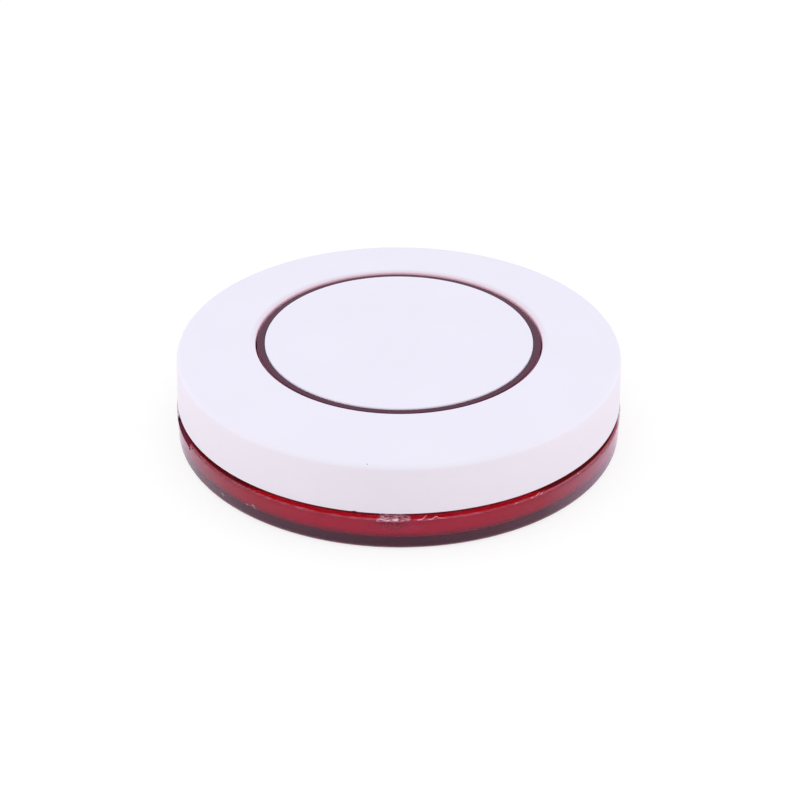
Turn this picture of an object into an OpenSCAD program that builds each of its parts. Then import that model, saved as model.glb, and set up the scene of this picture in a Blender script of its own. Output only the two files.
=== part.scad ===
// Round one-button radio remote: a white domed cover over a clear red base, with one large sprung button.
// Millimetres, +Z up. The origin is the middle of the base's underside, and -Y is the front.

/* [Base] */
// Diameter of the base at its rim
body_d = 60; // [56:0.5:80]
// Height of the base's rim
base_h = 4.75; // [4:0.05:7]
// Wall of the base
base_wall = 1.6; // [1.2:0.1:2.4]
// Floor of the base
floor_t = 1.3; // [1:0.1:2]
// Radius that the base's side loses from its rim to its foot
base_draft = 0.15; // [0:0.05:0.5]
// Radius of the base's bottom edge
base_edge_r = 1; // [0.3:0.1:1.2]
// Radius of the corner between the base's floor and its wall
floor_edge_r = 0.7; // [0.2:0.1:0.9]
// Bevel on the outer edge of the base's rim
rim_bevel = 0.15; // [0.05:0.05:0.4]
// Diameter of the shallow recess for a stick-on pad
pad_d = 44; // [20:1:48]
// Depth of that recess
pad_depth = 0.3; // [0.1:0.1:0.6]
// Width of the coin slot in the rim
slot_w = 7.6; // [4:0.2:12]
// Depth of the coin slot, down from the rim
slot_depth = 0.75; // [0.4:0.05:1.5]
// Radial reach of the coin slot into the wall
slot_reach = 1; // [0.5:0.1:1.1]
// Direction of the coin slot, counted from +X
slot_angle = 196.5; // [0:0.5:360]

/* [Cover] */
// Height of the open groove between base and cover
reveal = 0.8; // [0.3:0.05:1.5]
// Step from the base's rim in to the cover's side
cover_step = 0.15; // [0:0.05:0.5]
// Radius that the cover's side loses from its foot to its top edge
cover_draft = 0.1; // [0:0.05:0.5]
// Wall of the cover's side
cover_wall = 1.6; // [1.2:0.1:2.4]
// Thickness of the cover's domed top
cover_top_t = 1.6; // [1:0.1:2]
// Radius of the cover's top edge
cover_edge_r = 0.7; // [0.5:0.1:1.5]
// Spherical radius of the domed top
dome_r = 174; // [120:1:400]
// Diameter of the opening for the button
opening_d = 38.4; // [30:0.2:42]
// Rounding of the opening's upper edge
opening_edge_r = 0.25; // [0.1:0.05:0.5]
// Height of the collar that guides the button
guide_h = 2.24; // [2:0.02:4]
// Wall of that collar
collar_wall = 1.4; // [1:0.1:2]
// Thickness of the cover's tongue inside the base
tongue_t = 1.2; // [0.9:0.1:1.6]
// Height by which the tongue's root climbs the cover's side
root_h = 2; // [1:0.1:3]
// Width of a snap bead on the tongue
bead_w = 4; // [2:0.5:10]
// Height by which a snap bead stands out
bead_h = 0.4; // [0.2:0.05:0.5]
// Number of snap beads
bead_count = 4; // [3:1:8]

/* [Button] */
// Width of the clear ring round the disc
ring_w = 1; // [0.6:0.1:2]
// Depth of the ring below the disc's edge
ring_drop = 0.2; // [0.1:0.05:0.5]
// Thickness of the white disc
disc_t = 1; // [0.8:0.1:1.5]
// Depth of the disc's crown below the dome of the cover
disc_sink = 0.2; // [0:0.05:0.5]
// Rounding of the disc's edge
disc_edge_r = 0.2; // [0.1:0.05:0.4]
// Thickness of the carrier's domed plate
plate_t = 1.2; // [0.9:0.1:1.6]
// Wall of the carrier's skirt
skirt_t = 1.2; // [1:0.1:1.6]
// Reach of the carrier's flange past the opening
flange_lip = 1.2; // [0.6:0.1:2]
// Thickness of the carrier's flange
flange_t = 0.8; // [0.6:0.1:1.4]
// Diameter of the boss that meets the switch
boss_d = 4.5; // [3.6:0.1:6]
// Least length of that boss
boss_min = 0.6; // [0.3:0.1:2]
// Number of ribs under the carrier's plate
rib_count = 6; // [3:1:12]
// Thickness of a rib
rib_t = 0.8; // [0.6:0.1:1.2]
// Diameter of the disc's pegs
peg_d = 1.5; // [1:0.1:2.5]
// Circle on which the pegs sit
peg_circle_d = 24; // [14:0.5:28]
// Travel of the button
button_travel = 0.4; // [0.2:0.05:0.8]

/* [Board] */
// Height of the posts that carry the board
post_h = 3.7; // [2.5:0.1:5]
// Diameter of a post
post_d = 5; // [4:0.1:6]
// Thickness of the board
board_t = 1.2; // [0.8:0.1:1.6]
// Distance of the screws from the board's edge
screw_inset = 4.5; // [3.8:0.1:6]
// Shank diameter of a screw
screw_d = 1.9; // [1.6:0.1:2.6]
// Shank length of a screw
screw_len = 4; // [3:0.1:5]
// Head diameter of a screw
screw_head_d = 3.6; // [3:0.1:4.5]
// Head height of a screw
screw_head_h = 1.2; // [0.8:0.1:2]
// Width of the antenna's track
track_w = 1.2; // [0.6:0.1:2]
// Thickness of the antenna's track
track_t = 0.1; // [0.05:0.01:0.2]
// Distance of the antenna's track from the board's edge
track_inset = 0.8; // [0.4:0.1:1.2]

/* [Switch] */
// Side of the switch's square housing
switch_w = 6; // [5:0.1:7]
// Height of the housing
switch_body_h = 3.2; // [2.8:0.1:4]
// Thickness of the switch's steel plate
switch_plate_t = 0.3; // [0.2:0.05:0.5]
// Height of the stem's top above the board
switch_h = 5; // [4.4:0.1:5.8]
// Diameter of the stem
stem_d = 3.5; // [2.5:0.1:4]
// Diameter of the stem's foot inside the housing
stem_foot_d = 4.3; // [4:0.1:4.6]
// Height of the housing's well floor above the board
well_z = 1.2; // [0.8:0.1:1.5]
// Rise of the snap dome
snap_rise = 0.55; // [0.4:0.05:0.8]
// Thickness of the snap dome
snap_t = 0.1; // [0.08:0.01:0.15]
// Distance between the legs of one side
leg_pitch = 4.5; // [3:0.1:5]
// Width of a leg
leg_w = 0.7; // [0.5:0.05:0.9]
// Thickness of a leg
leg_t = 0.3; // [0.2:0.05:0.4]

/* [Components] */
// Width of the encoder chip, from lead side to lead side
encoder_w = 3.9; // [3:0.1:5]
// Length of the encoder chip
encoder_l = 4.9; // [4.6:0.1:6]
// Height of the encoder chip
encoder_h = 1.45; // [1:0.05:2]
// Pitch of the encoder chip's leads
encoder_pitch = 1.27; // [1:0.01:1.4]
// Length of the transistor
transistor_l = 2.9; // [2:0.1:4]
// Width of the transistor, from lead side to lead side
transistor_w = 1.3; // [1:0.1:2]
// Height of the transistor
transistor_h = 1; // [0.8:0.1:1.5]
// Diameter of the resonator's foot
resonator_d = 9.2; // [7:0.1:10]
// Height of the resonator
resonator_h = 3.3; // [2.5:0.1:4]
// Diameter of the resonator's pins
pin_d = 0.5; // [0.4:0.05:0.8]
// Diameter of the coil, over the wire's middle
coil_d = 3; // [2.5:0.1:4]
// Wire of the coil
coil_wire = 0.5; // [0.3:0.05:0.55]
// Turns of the coil
coil_turns = 3.5; // [1.5:1:4.5]
// Pitch of the coil
coil_pitch = 1; // [0.95:0.05:1.2]
// Length of a resistor or capacitor
chip_l = 2; // [1.6:0.1:2.4]
// Width of a resistor or capacitor
chip_w = 1.25; // [0.8:0.05:1.6]
// Length of its metal end
chip_end = 0.35; // [0.2:0.05:0.5]
// Height of a resistor
resistor_h = 0.5; // [0.3:0.05:0.8]
// Height of a capacitor
capacitor_h = 0.8; // [0.5:0.05:1.2]
// Radial width of a lamp
led_w = 2.8; // [2:0.1:3.2]
// Length of a lamp
led_l = 3.5; // [2:0.1:4]
// Height of a lamp
led_h = 1.9; // [1:0.1:2.4]

/* [Battery] */
// Diameter of the cell
cell_d = 8; // [7:0.1:9]
// Length of the cell with its nub
cell_len = 28.2; // [26:0.1:30]
// Diameter of the cell's nub
nub_d = 3.6; // [3:0.1:4.5]
// Length of the cell's nub
nub_len = 1; // [0.6:0.1:1.5]
// Height of the cell above the floor
cell_lift = 0.4; // [0.3:0.05:1]
// Thickness of the contact plates
contact_t = 0.4; // [0.3:0.05:0.6]
// Length of the pressed spring
spring_len = 4; // [3.6:0.1:6]
// Wire of the spring
spring_wire = 0.6; // [0.4:0.05:0.7]
// Turns of the spring
spring_turns = 2.5; // [1.5:0.5:3.5]
// Diameter of the spring's narrow end, over the wire's middle
spring_narrow_d = 3.2; // [2.4:0.1:4]
// Distance between the two saddles under the cell
saddle_pitch = 17; // [8:0.5:22]
// Width of a saddle across the cell
saddle_w = 6; // [4:0.5:7]
// Thickness of a saddle
saddle_t = 1.2; // [0.8:0.1:2]
// Height of a saddle's tips above the cell's underside
saddle_rise = 1.8; // [0.5:0.1:3]

/* [Hidden] */
$fn = 96;
// Facets of the large circles that draw the dome
dome_fn = 256;
// A little more than nothing, so that cuts run through
over = 0.5;

// Named clearances
tongue_gap = 0.15;
tongue_lift = 0.2;
snap_gap = 0.15;
ring_gap = 0.25;
flange_gap = 0.1;
glue_gap = 0.05;
disc_gap = 0.05;
peg_gap = 0.1;
stem_gap = 0.12;
run_gap = 0.45;
board_gap = 1.2;
pilot_gap = 0.05;
screw_gap = 0.2;
fit_gap = 0.1;
holder_gap = 0.3;
contact_gap = 0.05;
rib_gap = 0.2;

// Base
base_r = body_d / 2;
foot_r = base_r - base_draft;
base_in_r = base_r - base_wall;

// Tongue and groove
tongue_r = base_in_r - tongue_gap;
tongue_in_r = tongue_r - tongue_t;
tongue_z = floor_t + tongue_lift;
cover_z = base_h + reveal;
bead_z = (tongue_z + base_h) / 2;
bead_half = 0.6;

// Board and switch
board_z = floor_t + post_h;
board_top = board_z + board_t;
board_r = tongue_in_r - board_gap;
screw_circle_r = board_r - screw_inset;
screw_angles = [0, 90, 180];
stem_top = board_top + switch_h;
plate_z = board_top + switch_body_h;
well_d = stem_foot_d + 2 * fit_gap;
leg_out = leg_t + 0.15;
leg_z = 0.5;
pin_tail = 1.2;

// Battery, lying across the front beside the board
cell_r = cell_d / 2;
cell_z = floor_t + cell_lift + cell_r;
cell_top = cell_z + cell_r;
contact_inset = 0.4;
contact_half = cell_r - contact_inset;
contact_bevel = 0.6;
holder_w = 1.8;
holder_grip = 0.7;
holder_in = contact_half - holder_grip;
holder_reach = holder_in + holder_w;
spring_wide_d = 2 * (holder_in - fit_gap) - spring_wire;
pack_len = cell_len + spring_len + 2 * contact_t + 3 * contact_gap;
pack_half = pack_len / 2 - contact_t / 2 + holder_w / 2;
cell_y = holder_reach - sqrt(pow(tongue_in_r - holder_gap, 2) - pow(pack_half, 2));
board_cut = -(cell_y + holder_reach + holder_gap);
holder_top = board_top - holder_gap;
plus_x = pack_len / 2 - contact_t;
minus_x = -plus_x;
cell_foot_x = plus_x - contact_gap - cell_len;

// Tails of the contact plates, which turn down through the board
tail_w = 1;
tail_h = 1.4;
tail_inset = 1.4;
tail_y = tail_inset + tail_w - board_cut;

// Places of the small components on the board
package_lift = 0.1;
// Reach, thickness and width of the leads
encoder_lead = [1.05, 0.2, 0.4];
transistor_lead = [0.6, 0.15, 0.4];
encoder_at = [-10, 6];
transistor_at = [4.5, 15];
resonator_at = [9, 7];
resonator_pin_r = 2.54;
coil_at = [-5.5, 15.5];
led_angles = [20, 160];
loop_overrun = 10;
resistor_places = [[-6, 11.5, 90], [-2.5, 9.5, 0], [9, 14.5, 0], [-14, 0, 90], [-9.5, -1, 0]];
capacitor_places = [[0.8, 12, 90], [3, 9, 0], [13, 13.5, 90], [-10, -4.5, 0], [10, -3, 0], [14.5, -1, 90]];

// Rings in one turn of a wound wire
rings = 8;

// Top of the tallest piece that the button passes over
coil_z = board_top + coil_wire + coil_d / 2;
coil_top = coil_z + (coil_d + coil_wire) / 2;
clear_top = max(cell_top, coil_top, board_top + resonator_h, board_top + led_h);

// Heights of the button, which clears those pieces and reaches the switch
function sag(r) = dome_r - sqrt(dome_r * dome_r - r * r);
opening_r = opening_d / 2;
carrier_rise = flange_t + flange_gap + guide_h + sag(opening_r) - disc_sink - disc_t - glue_gap - plate_t;
carrier_z = max(clear_top + button_travel + run_gap, stem_top + stem_gap + boss_min - carrier_rise);
flange_z = carrier_z + flange_t;
collar_z = flange_z + flange_gap;
opening_z = collar_z + guide_h;
cover_crown = opening_z + sag(opening_r);
disc_crown = cover_crown - disc_sink;
plate_crown = disc_crown - disc_t - glue_gap;
boss_z = stem_top + stem_gap;

// Radii of the button
ring_r = opening_r - ring_gap;
disc_r = ring_r - ring_w;
pocket_r = disc_r + disc_gap;
ring_z = disc_crown - sag(disc_r) - ring_drop;
flange_r = opening_r + flange_lip;
ring_bevel = 0.15;
peg_tail = 0.3;

// Cover
cover_r = base_r - cover_step;
cover_top_r = cover_r - cover_draft;
cover_in_r = cover_r - cover_wall;
root_step = 0.1;

// Half outline of everything under a sphere of the dome's radius whose top is at the given height
module under_dome(crown) {
    translate([0, crown - dome_r]) circle(r = dome_r, $fn = dome_fn);
}

// Half outline of a domed slab of even height
module dome_slab(crown, t, r) {
    difference() {
        intersection() {
            under_dome(crown);
            translate([0, crown - sag(r) - t - over]) square([r, sag(r) + t + 2 * over]);
        }
        under_dome(crown - t);
    }
}

// Middle of a round edge of radius e, x away from the axis, that touches the dome from inside
function edge_centre(crown, x, e) = [x, crown - dome_r + sqrt(pow(dome_r - e, 2) - x * x)];

// Point on the ray from the dome's centre through an edge's middle, the given distance past it
function past(crown, c, d) = c + d * (c - [0, crown - dome_r]) / norm(c - [0, crown - dome_r]);

// Half outline of a domed body down to a level, with its outer edge rounded and its side slightly drafted
module domed_body(crown, low_r, top_r, e, z0) {
    c = edge_centre(crown, top_r - e, e);
    polygon([[0, z0], [low_r, z0], [top_r, c.y], [0, c.y]]);
    translate(c) circle(r = e);
    intersection() {
        under_dome(crown);
        polygon([[0, c.y], c, past(crown, c, e + over), [0, crown + over]]);
    }
}

// Turns a shape to each of a number of even places
module around(count, start = 0) {
    for (i = [0 : count - 1]) rotate(start + i * 360 / count) children();
}

// Part of a turn of an outline, centred on +X
module arc_extrude(angle) {
    rotate(-angle / 2) rotate_extrude(angle = angle) children();
}

// Half outline of a snap bead or its pocket
module bead_outline(root_r, top_r, grow) {
    polygon([
        [root_r, bead_z - bead_half - grow],
        [top_r, bead_z - bead_half / 2 - grow],
        [top_r, bead_z + bead_half / 2 + grow],
        [root_r, bead_z + bead_half + grow]
    ]);
}

// Angle that a width takes up at a radius
function span_angle(w, r) = 2 * asin(w / (2 * r));

module base_outline() {
    difference() {
        union() {
            polygon([
                [0, 0], [foot_r - base_edge_r, 0],
                [foot_r - base_edge_r, base_edge_r], [foot_r, base_edge_r],
                [base_r, base_h - rim_bevel], [base_r - rim_bevel, base_h], [0, base_h]
            ]);
            translate([foot_r - base_edge_r, base_edge_r]) circle(r = base_edge_r);
        }
        // Inside, with a round corner between floor and wall
        translate([0, floor_t]) square([base_in_r - floor_edge_r, base_h]);
        translate([0, floor_t + floor_edge_r]) square([base_in_r, base_h]);
        translate([base_in_r - floor_edge_r, floor_t + floor_edge_r]) circle(r = floor_edge_r);
        // Recess for the pad
        translate([0, -over]) square([pad_d / 2, pad_depth + over]);
    }
}

module screw_places() {
    for (a = screw_angles) rotate(a) translate([screw_circle_r, 0]) children();
}

// Rib with a round seat for the cell
module saddle(x) {
    translate([x, cell_y, 0]) difference() {
        translate([-saddle_t / 2, -saddle_w / 2, floor_t - over])
            cube([saddle_t, saddle_w, cell_lift + saddle_rise + over]);
        translate([-saddle_t, 0, cell_z]) rotate([0, 90, 0])
            cylinder(r = cell_r + fit_gap, h = 2 * saddle_t);
    }
}

// Pair of slotted posts that hold a contact plate whose inner face is at x
module contact_holder(x) {
    middle = x + sign(x) * contact_t / 2;
    slot = contact_t + 2 * contact_gap;
    difference() {
        for (y = [holder_in, -holder_reach])
            translate([middle - holder_w / 2, cell_y + y, floor_t - over])
                cube([holder_w, holder_w, holder_top - floor_t + over]);
        translate([middle - slot / 2, cell_y - contact_half - contact_gap, floor_t])
            cube([slot, 2 * (contact_half + contact_gap), holder_top]);
    }
}

module base_shell() {
    color("crimson") difference() {
        union() {
            rotate_extrude() base_outline();
            screw_places() translate([0, 0, floor_t - over]) cylinder(d = post_d, h = post_h + over);
            for (s = [-1, 1]) saddle(s * saddle_pitch / 2);
            contact_holder(plus_x);
            contact_holder(minus_x);
        }
        screw_places() translate([0, 0, floor_t])
            cylinder(d = screw_d + 2 * pilot_gap, h = post_h + over);
        around(bead_count) arc_extrude(span_angle(bead_w + 2 * snap_gap, base_in_r))
            bead_outline(base_in_r - over, base_in_r + bead_h, snap_gap);
        rotate(slot_angle) arc_extrude(span_angle(slot_w, base_r))
            translate([base_r - slot_reach, base_h - slot_depth])
                square([slot_reach + over, slot_depth + over]);
    }
}

// Half outline of the cover's ring round the opening, with the opening's upper edge rounded
module opening_cut() {
    e = opening_edge_r;
    c = edge_centre(cover_crown, opening_r + e, e);
    difference() {
        polygon([
            [0, 0], [opening_r, 0], [opening_r, c.y], c,
            past(cover_crown, c, e + over), [0, cover_crown + over]
        ]);
        translate(c) circle(r = e);
    }
}

module cover_outline() {
    in_crown = cover_crown - cover_top_t;
    in_edge_r = cover_edge_r / 2;
    root_top = cover_z + root_h;
    foot_c = [tongue_r - floor_edge_r, tongue_z + floor_edge_r];
    difference() {
        union() {
            difference() {
                domed_body(cover_crown, cover_r, cover_top_r, cover_edge_r, cover_z);
                domed_body(in_crown, cover_in_r, cover_in_r, in_edge_r, cover_z - over);
            }
            // Collar round the opening
            intersection() {
                under_dome(cover_crown - cover_top_t / 2);
                translate([opening_r - over, collar_z])
                    square([collar_wall + over, cover_crown - collar_z]);
            }
            // Tongue, with its root in the side wall and its foot rounded as the base's corner is
            polygon([
                [tongue_in_r, tongue_z], [foot_c.x, tongue_z], foot_c, [tongue_r, foot_c.y],
                [tongue_r, cover_z], [cover_r - cover_wall / 2, cover_z],
                [cover_r - cover_wall / 2, root_top],
                [cover_in_r - root_step, root_top], [tongue_in_r, root_top - tongue_t]
            ]);
            intersection() {
                translate(foot_c) circle(r = floor_edge_r);
                translate([tongue_in_r, tongue_z]) square([tongue_t, floor_edge_r]);
            }
        }
        opening_cut();
    }
}

module top_cover() {
    color("ghostwhite") {
        rotate_extrude() cover_outline();
        around(bead_count) arc_extrude(span_angle(bead_w, tongue_r))
            bead_outline(tongue_r - tongue_t / 2, tongue_r + bead_h, 0);
    }
}

module carrier_outline() {
    edge_z = plate_crown - sag(pocket_r) - plate_t / 2;
    dome_slab(plate_crown, plate_t, ring_r - skirt_t / 2);
    polygon([
        [ring_r - skirt_t, carrier_z], [flange_r, carrier_z],
        [flange_r, flange_z], [ring_r, flange_z],
        [ring_r, ring_z - ring_bevel], [ring_r - ring_bevel, ring_z], [pocket_r, ring_z],
        [pocket_r, edge_z], [ring_r - skirt_t, edge_z]
    ]);
}

module peg_places() {
    around(3, 30) translate([peg_circle_d / 2, 0]) children();
}

module button_carrier() {
    rib_len = ring_r - skirt_t / 2;
    rib_z = carrier_z + rib_gap;
    color("firebrick") difference() {
        union() {
            rotate_extrude() carrier_outline();
            translate([0, 0, boss_z]) cylinder(d = boss_d, h = plate_crown - plate_t / 2 - boss_z);
            intersection() {
                rotate_extrude() dome_slab(plate_crown - plate_t / 2, plate_crown - rib_z, rib_len);
                translate([0, 0, rib_z]) linear_extrude(plate_crown)
                    around(rib_count) translate([0, -rib_t / 2]) square([rib_len, rib_t]);
            }
        }
        peg_places() translate([0, 0, boss_z]) cylinder(d = peg_d + 2 * peg_gap, h = cover_crown);
        // The ribs stop above the switch's stem
        cylinder(d = boss_d + 2 * over, h = boss_z);
    }
}

module button_disc() {
    below = disc_crown - sag(disc_r) - disc_t - over;
    peg_z = plate_crown - plate_t - sag(peg_circle_d / 2) - peg_tail;
    peg_top = disc_crown - disc_t / 2 - sag(peg_circle_d / 2);
    color("whitesmoke") {
        rotate_extrude() difference() {
            domed_body(disc_crown, disc_r, disc_r, disc_edge_r, below);
            under_dome(disc_crown - disc_t);
        }
        peg_places() translate([0, 0, peg_z]) cylinder(d = peg_d, h = peg_top - peg_z);
    }
}

// Places of the switch's legs on the board
module leg_places() {
    for (x = [-1, 1], y = [-1, 1])
        translate([x * (switch_w / 2 + leg_out - leg_t / 2), y * leg_pitch / 2]) children();
}

module resonator_pins() {
    translate(resonator_at) around(3) translate([resonator_pin_r, 0]) children();
}

// Places of the two contact tails on the board
module tail_places() {
    for (s = [-1, 1])
        translate([s * (plus_x + contact_t / 2), tail_y - tail_w / 2]) children();
}

module circuit_board() {
    color("darkgreen") translate([0, 0, board_z]) linear_extrude(board_t) difference() {
        circle(r = board_r);
        translate([-board_r, -board_cut - board_r]) square([2 * board_r, board_r]);
        screw_places() circle(d = screw_d + 2 * screw_gap);
        leg_places() circle(d = leg_w + 4 * fit_gap);
        resonator_pins() circle(d = pin_d + 2 * fit_gap);
        tail_places() square([contact_t + 2 * fit_gap, tail_w + 2 * fit_gap], center = true);
    }
}

module screw_outline() {
    edge = screw_head_h / 3;
    square([screw_head_d / 2, screw_head_h - edge]);
    square([screw_head_d / 2 - edge, screw_head_h]);
    translate([screw_head_d / 2 - edge, screw_head_h - edge]) circle(r = edge);
    polygon([
        [0, 0], [screw_d / 2, 0], [screw_d / 2, screw_d / 2 - screw_len],
        [screw_d / 6, -screw_len], [0, -screw_len]
    ]);
}

module board_screws() {
    color("silver") screw_places() translate([0, 0, board_top]) rotate_extrude() screw_outline();
}

// Square of the switch with its corners cut off
module switch_square() {
    corner_cut = 0.35;
    intersection() {
        square(switch_w, center = true);
        rotate(45) square(sqrt(2) * switch_w - 2 * corner_cut, center = true);
    }
}

module switch_body() {
    color("dimgray") translate([0, 0, board_top]) difference() {
        linear_extrude(switch_body_h) switch_square();
        translate([0, 0, well_z]) cylinder(d = well_d, h = switch_body_h);
    }
}

module switch_plate() {
    rivet_d = 0.8;
    rivet_h = 0.2;
    rivet_inset = 0.8;
    color("lightsteelblue") translate([0, 0, plate_z]) {
        linear_extrude(switch_plate_t) difference() {
            switch_square();
            circle(d = stem_d + 2 * fit_gap);
        }
        for (x = [-1, 1], y = [-1, 1])
            translate([x, y, 0] * (switch_w / 2 - rivet_inset))
                cylinder(d = rivet_d, h = switch_plate_t + rivet_h);
    }
}

// One leg, which leaves the housing's side at +X and turns down through the board
module switch_leg() {
    translate([switch_w / 2, -leg_w / 2, board_top + leg_z]) cube([leg_out, leg_w, leg_t]);
    translate([switch_w / 2 + leg_out - leg_t, -leg_w / 2, board_z - pin_tail])
        cube([leg_t, leg_w, board_t + pin_tail + leg_z + leg_t]);
}

module switch_legs() {
    color("silver") for (turn = [0, 180], y = [-1, 1])
        rotate(turn) translate([0, y * leg_pitch / 2, 0]) switch_leg();
}

module switch_dome() {
    a = well_d / 2 - fit_gap;
    dome = (a * a + snap_rise * snap_rise) / (2 * snap_rise);
    color("gold") translate([0, 0, board_top + well_z]) rotate_extrude() intersection() {
        difference() {
            translate([0, snap_rise - dome]) circle(r = dome);
            translate([0, snap_rise - dome]) circle(r = dome - snap_t);
        }
        square([a + over, snap_rise + over]);
    }
}

module switch_stem() {
    foot_z = board_top + well_z + snap_rise + contact_gap;
    color("black") {
        translate([0, 0, foot_z]) cylinder(d = stem_foot_d, h = plate_z - contact_gap - foot_z);
        translate([0, 0, foot_z]) cylinder(d = stem_d, h = stem_top - foot_z);
    }
}

// Outline of a block with its upper corners bevelled
module bevelled(w, h) {
    bevel = h / 5;
    polygon([
        [-w / 2, 0], [w / 2, 0], [w / 2, h - bevel],
        [w / 2 - bevel, h], [bevel - w / 2, h], [-w / 2, h - bevel]
    ]);
}

// Moulded package with its upper edges bevelled, standing on the board
module package(l, w, h) {
    intersection() {
        rotate([90, 0, 0]) linear_extrude(w, center = true) bevelled(l, h);
        rotate([90, 0, 90]) linear_extrude(l, center = true) bevelled(w, h);
    }
}

module on_board(at, turn = 0, lift = 0) {
    translate([at.x, at.y, board_top + lift]) rotate(turn) children();
}

module encoder_chip() {
    color("darkslategray") on_board(encoder_at, 0, package_lift) package(encoder_w, encoder_l, encoder_h);
}

module rf_transistor() {
    color("darkslategray") on_board(transistor_at, 0, package_lift)
        package(transistor_l, transistor_w, transistor_h);
}

// Gull-wing lead that leaves a package's side at x, comes down and ends in a foot on the board
module gull_lead(x, z, lead) {
    end = x + lead[0];
    knee = x + lead[0] / 2;
    t = lead[1];
    rotate([90, 0, 0]) linear_extrude(lead[2], center = true) polygon([
        [x, z], [knee, z], [knee, t], [end, t],
        [end, 0], [knee - t, 0], [knee - t, z - t], [x, z - t]
    ]);
}

module component_leads() {
    color("gainsboro") {
        on_board(encoder_at) for (side = [0, 180], i = [-1.5 : 1.5])
            rotate(side) translate([0, i * encoder_pitch, 0])
                gull_lead(encoder_w / 2, encoder_h / 2, encoder_lead);
        on_board(transistor_at) for (place = [[90, 0], [270, -1], [270, 1]])
            rotate(place[0]) translate([0, place[1] * transistor_l / 3, 0])
                gull_lead(transistor_w / 2, transistor_h / 2, transistor_lead);
    }
}

module saw_resonator() {
    edge = 0.5;
    lip_h = 0.5;
    can_r = resonator_d / 2 - lip_h;
    color("lightgray") {
        on_board(resonator_at) rotate_extrude() {
            square([resonator_d / 2, lip_h]);
            square([can_r, resonator_h - edge]);
            square([can_r - edge, resonator_h]);
            translate([can_r - edge, resonator_h - edge]) circle(r = edge);
        }
        resonator_pins() translate([0, 0, board_z - pin_tail])
            cylinder(d = pin_d, h = board_t + pin_tail + lip_h / 2);
    }
}

function unit(v) = v / norm(v);
function tangent(p, i) = unit(p[min(i + 1, len(p) - 1)] - p[max(i - 1, 0)]);

// Two cross directions at each point of a path, carried along without twist
function carried(p, n, i = 0) = i == len(p) ? [] :
    let (t = tangent(p, i), m = unit(n - (n * t) * t))
    concat([[m, cross(t, m)]], carried(p, m, i + 1));

// Round wire along a path
module wire(p, d, n) {
    sides = 6;
    f = carried(p, n);
    points = [for (i = [0 : len(p) - 1], k = [0 : sides - 1])
        p[i] + d / 2 * (cos(k * 360 / sides) * f[i][0] + sin(k * 360 / sides) * f[i][1])];
    last = (len(p) - 1) * sides;
    faces = concat(
        [for (k = [1 : sides - 2]) [0, k, k + 1]],
        [for (k = [1 : sides - 2]) [last, last + k + 1, last + k]],
        [for (i = [0 : len(p) - 2], k = [0 : sides - 1], half = [0, 1])
            let (a = i * sides + k, b = i * sides + (k + 1) % sides)
            half == 0 ? [a, a + sides, b] : [b, a + sides, b + sides]]
    );
    polyhedron(points, faces);
}

// Least gap between the turns of a wire, over points at least half a turn apart
function least_gap(p, d) = min([
    for (i = [0 : len(p) - 1])
        for (j = [i + rings / 2 : 1 : len(p) - 1])
            norm(p[i] - p[j])
]) - d;

coil_path = let (
    steps = ceil(coil_turns * rings),
    turn = [for (i = [0 : steps])
        let (turns = i / steps * coil_turns, a = turns * 360)
        [
            coil_at.x + turns * coil_pitch,
            coil_at.y + coil_d / 2 * cos(a),
            coil_z + coil_d / 2 * sin(a)
        ]],
    last = turn[steps]
) concat([[turn[0].x, turn[0].y, board_top]], turn, [[last.x, last.y, board_top]]);

module tuning_coil() {
    color("peru") wire(coil_path, coil_wire, [1, 0, 0]);
}

spring_path = let (
    start = minus_x + contact_gap + spring_wire,
    steps = ceil(spring_turns * rings),
    run = spring_len - 2 * spring_wire,
    turn = [for (i = [0 : steps])
        let (
            s = i / steps,
            a = s * spring_turns * 360,
            r = (spring_wide_d * (1 - s) + spring_narrow_d * s) / 2
        )
        [start + s * run, cell_y + r * cos(a), cell_z + r * sin(a)]],
    end = [spring_wire, 0, 0]
) concat([turn[0] - end], turn, [turn[steps] + end]);

module contact_spring() {
    color("silver") wire(spring_path, spring_wire, [0, 1, 0]);
}

module chips(places, h) {
    for (p = places)
        on_board(p, p[2]) translate([0, 0, h / 2])
            cube([chip_l - 2 * chip_end, chip_w, h], center = true);
}

module chip_ends(places, h) {
    for (p = places, s = [-1, 1])
        on_board(p, p[2]) translate([s * (chip_l - chip_end) / 2, 0, h / 2])
            cube([chip_end, chip_w, h], center = true);
}

module chip_resistors() {
    color("black") chips(resistor_places, resistor_h);
}

module chip_capacitors() {
    color("tan") chips(capacitor_places, capacitor_h);
}

module chip_terminals() {
    color("silver") {
        chip_ends(resistor_places, resistor_h);
        chip_ends(capacitor_places, capacitor_h);
    }
}

module indicator_leds() {
    cup_rim = 0.25;
    cup_taper = 0.7;
    cup_d = min(led_w, led_l) - 2 * cup_rim;
    color("mistyrose") for (a = led_angles) rotate(a) on_board([opening_r - led_w / 2, 0]) difference() {
        translate([0, 0, led_h / 2]) cube([led_w, led_l, led_h], center = true);
        translate([0, 0, led_h / 2])
            cylinder(d1 = cup_d - cup_taper, d2 = cup_d, h = led_h / 2 + fit_gap);
    }
}

module loop_antenna() {
    color("orange") translate([0, 0, board_top]) rotate(-loop_overrun)
        rotate_extrude(angle = 180 + 2 * loop_overrun)
            translate([board_r - track_inset - track_w, 0]) square([track_w, track_t]);
}

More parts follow.
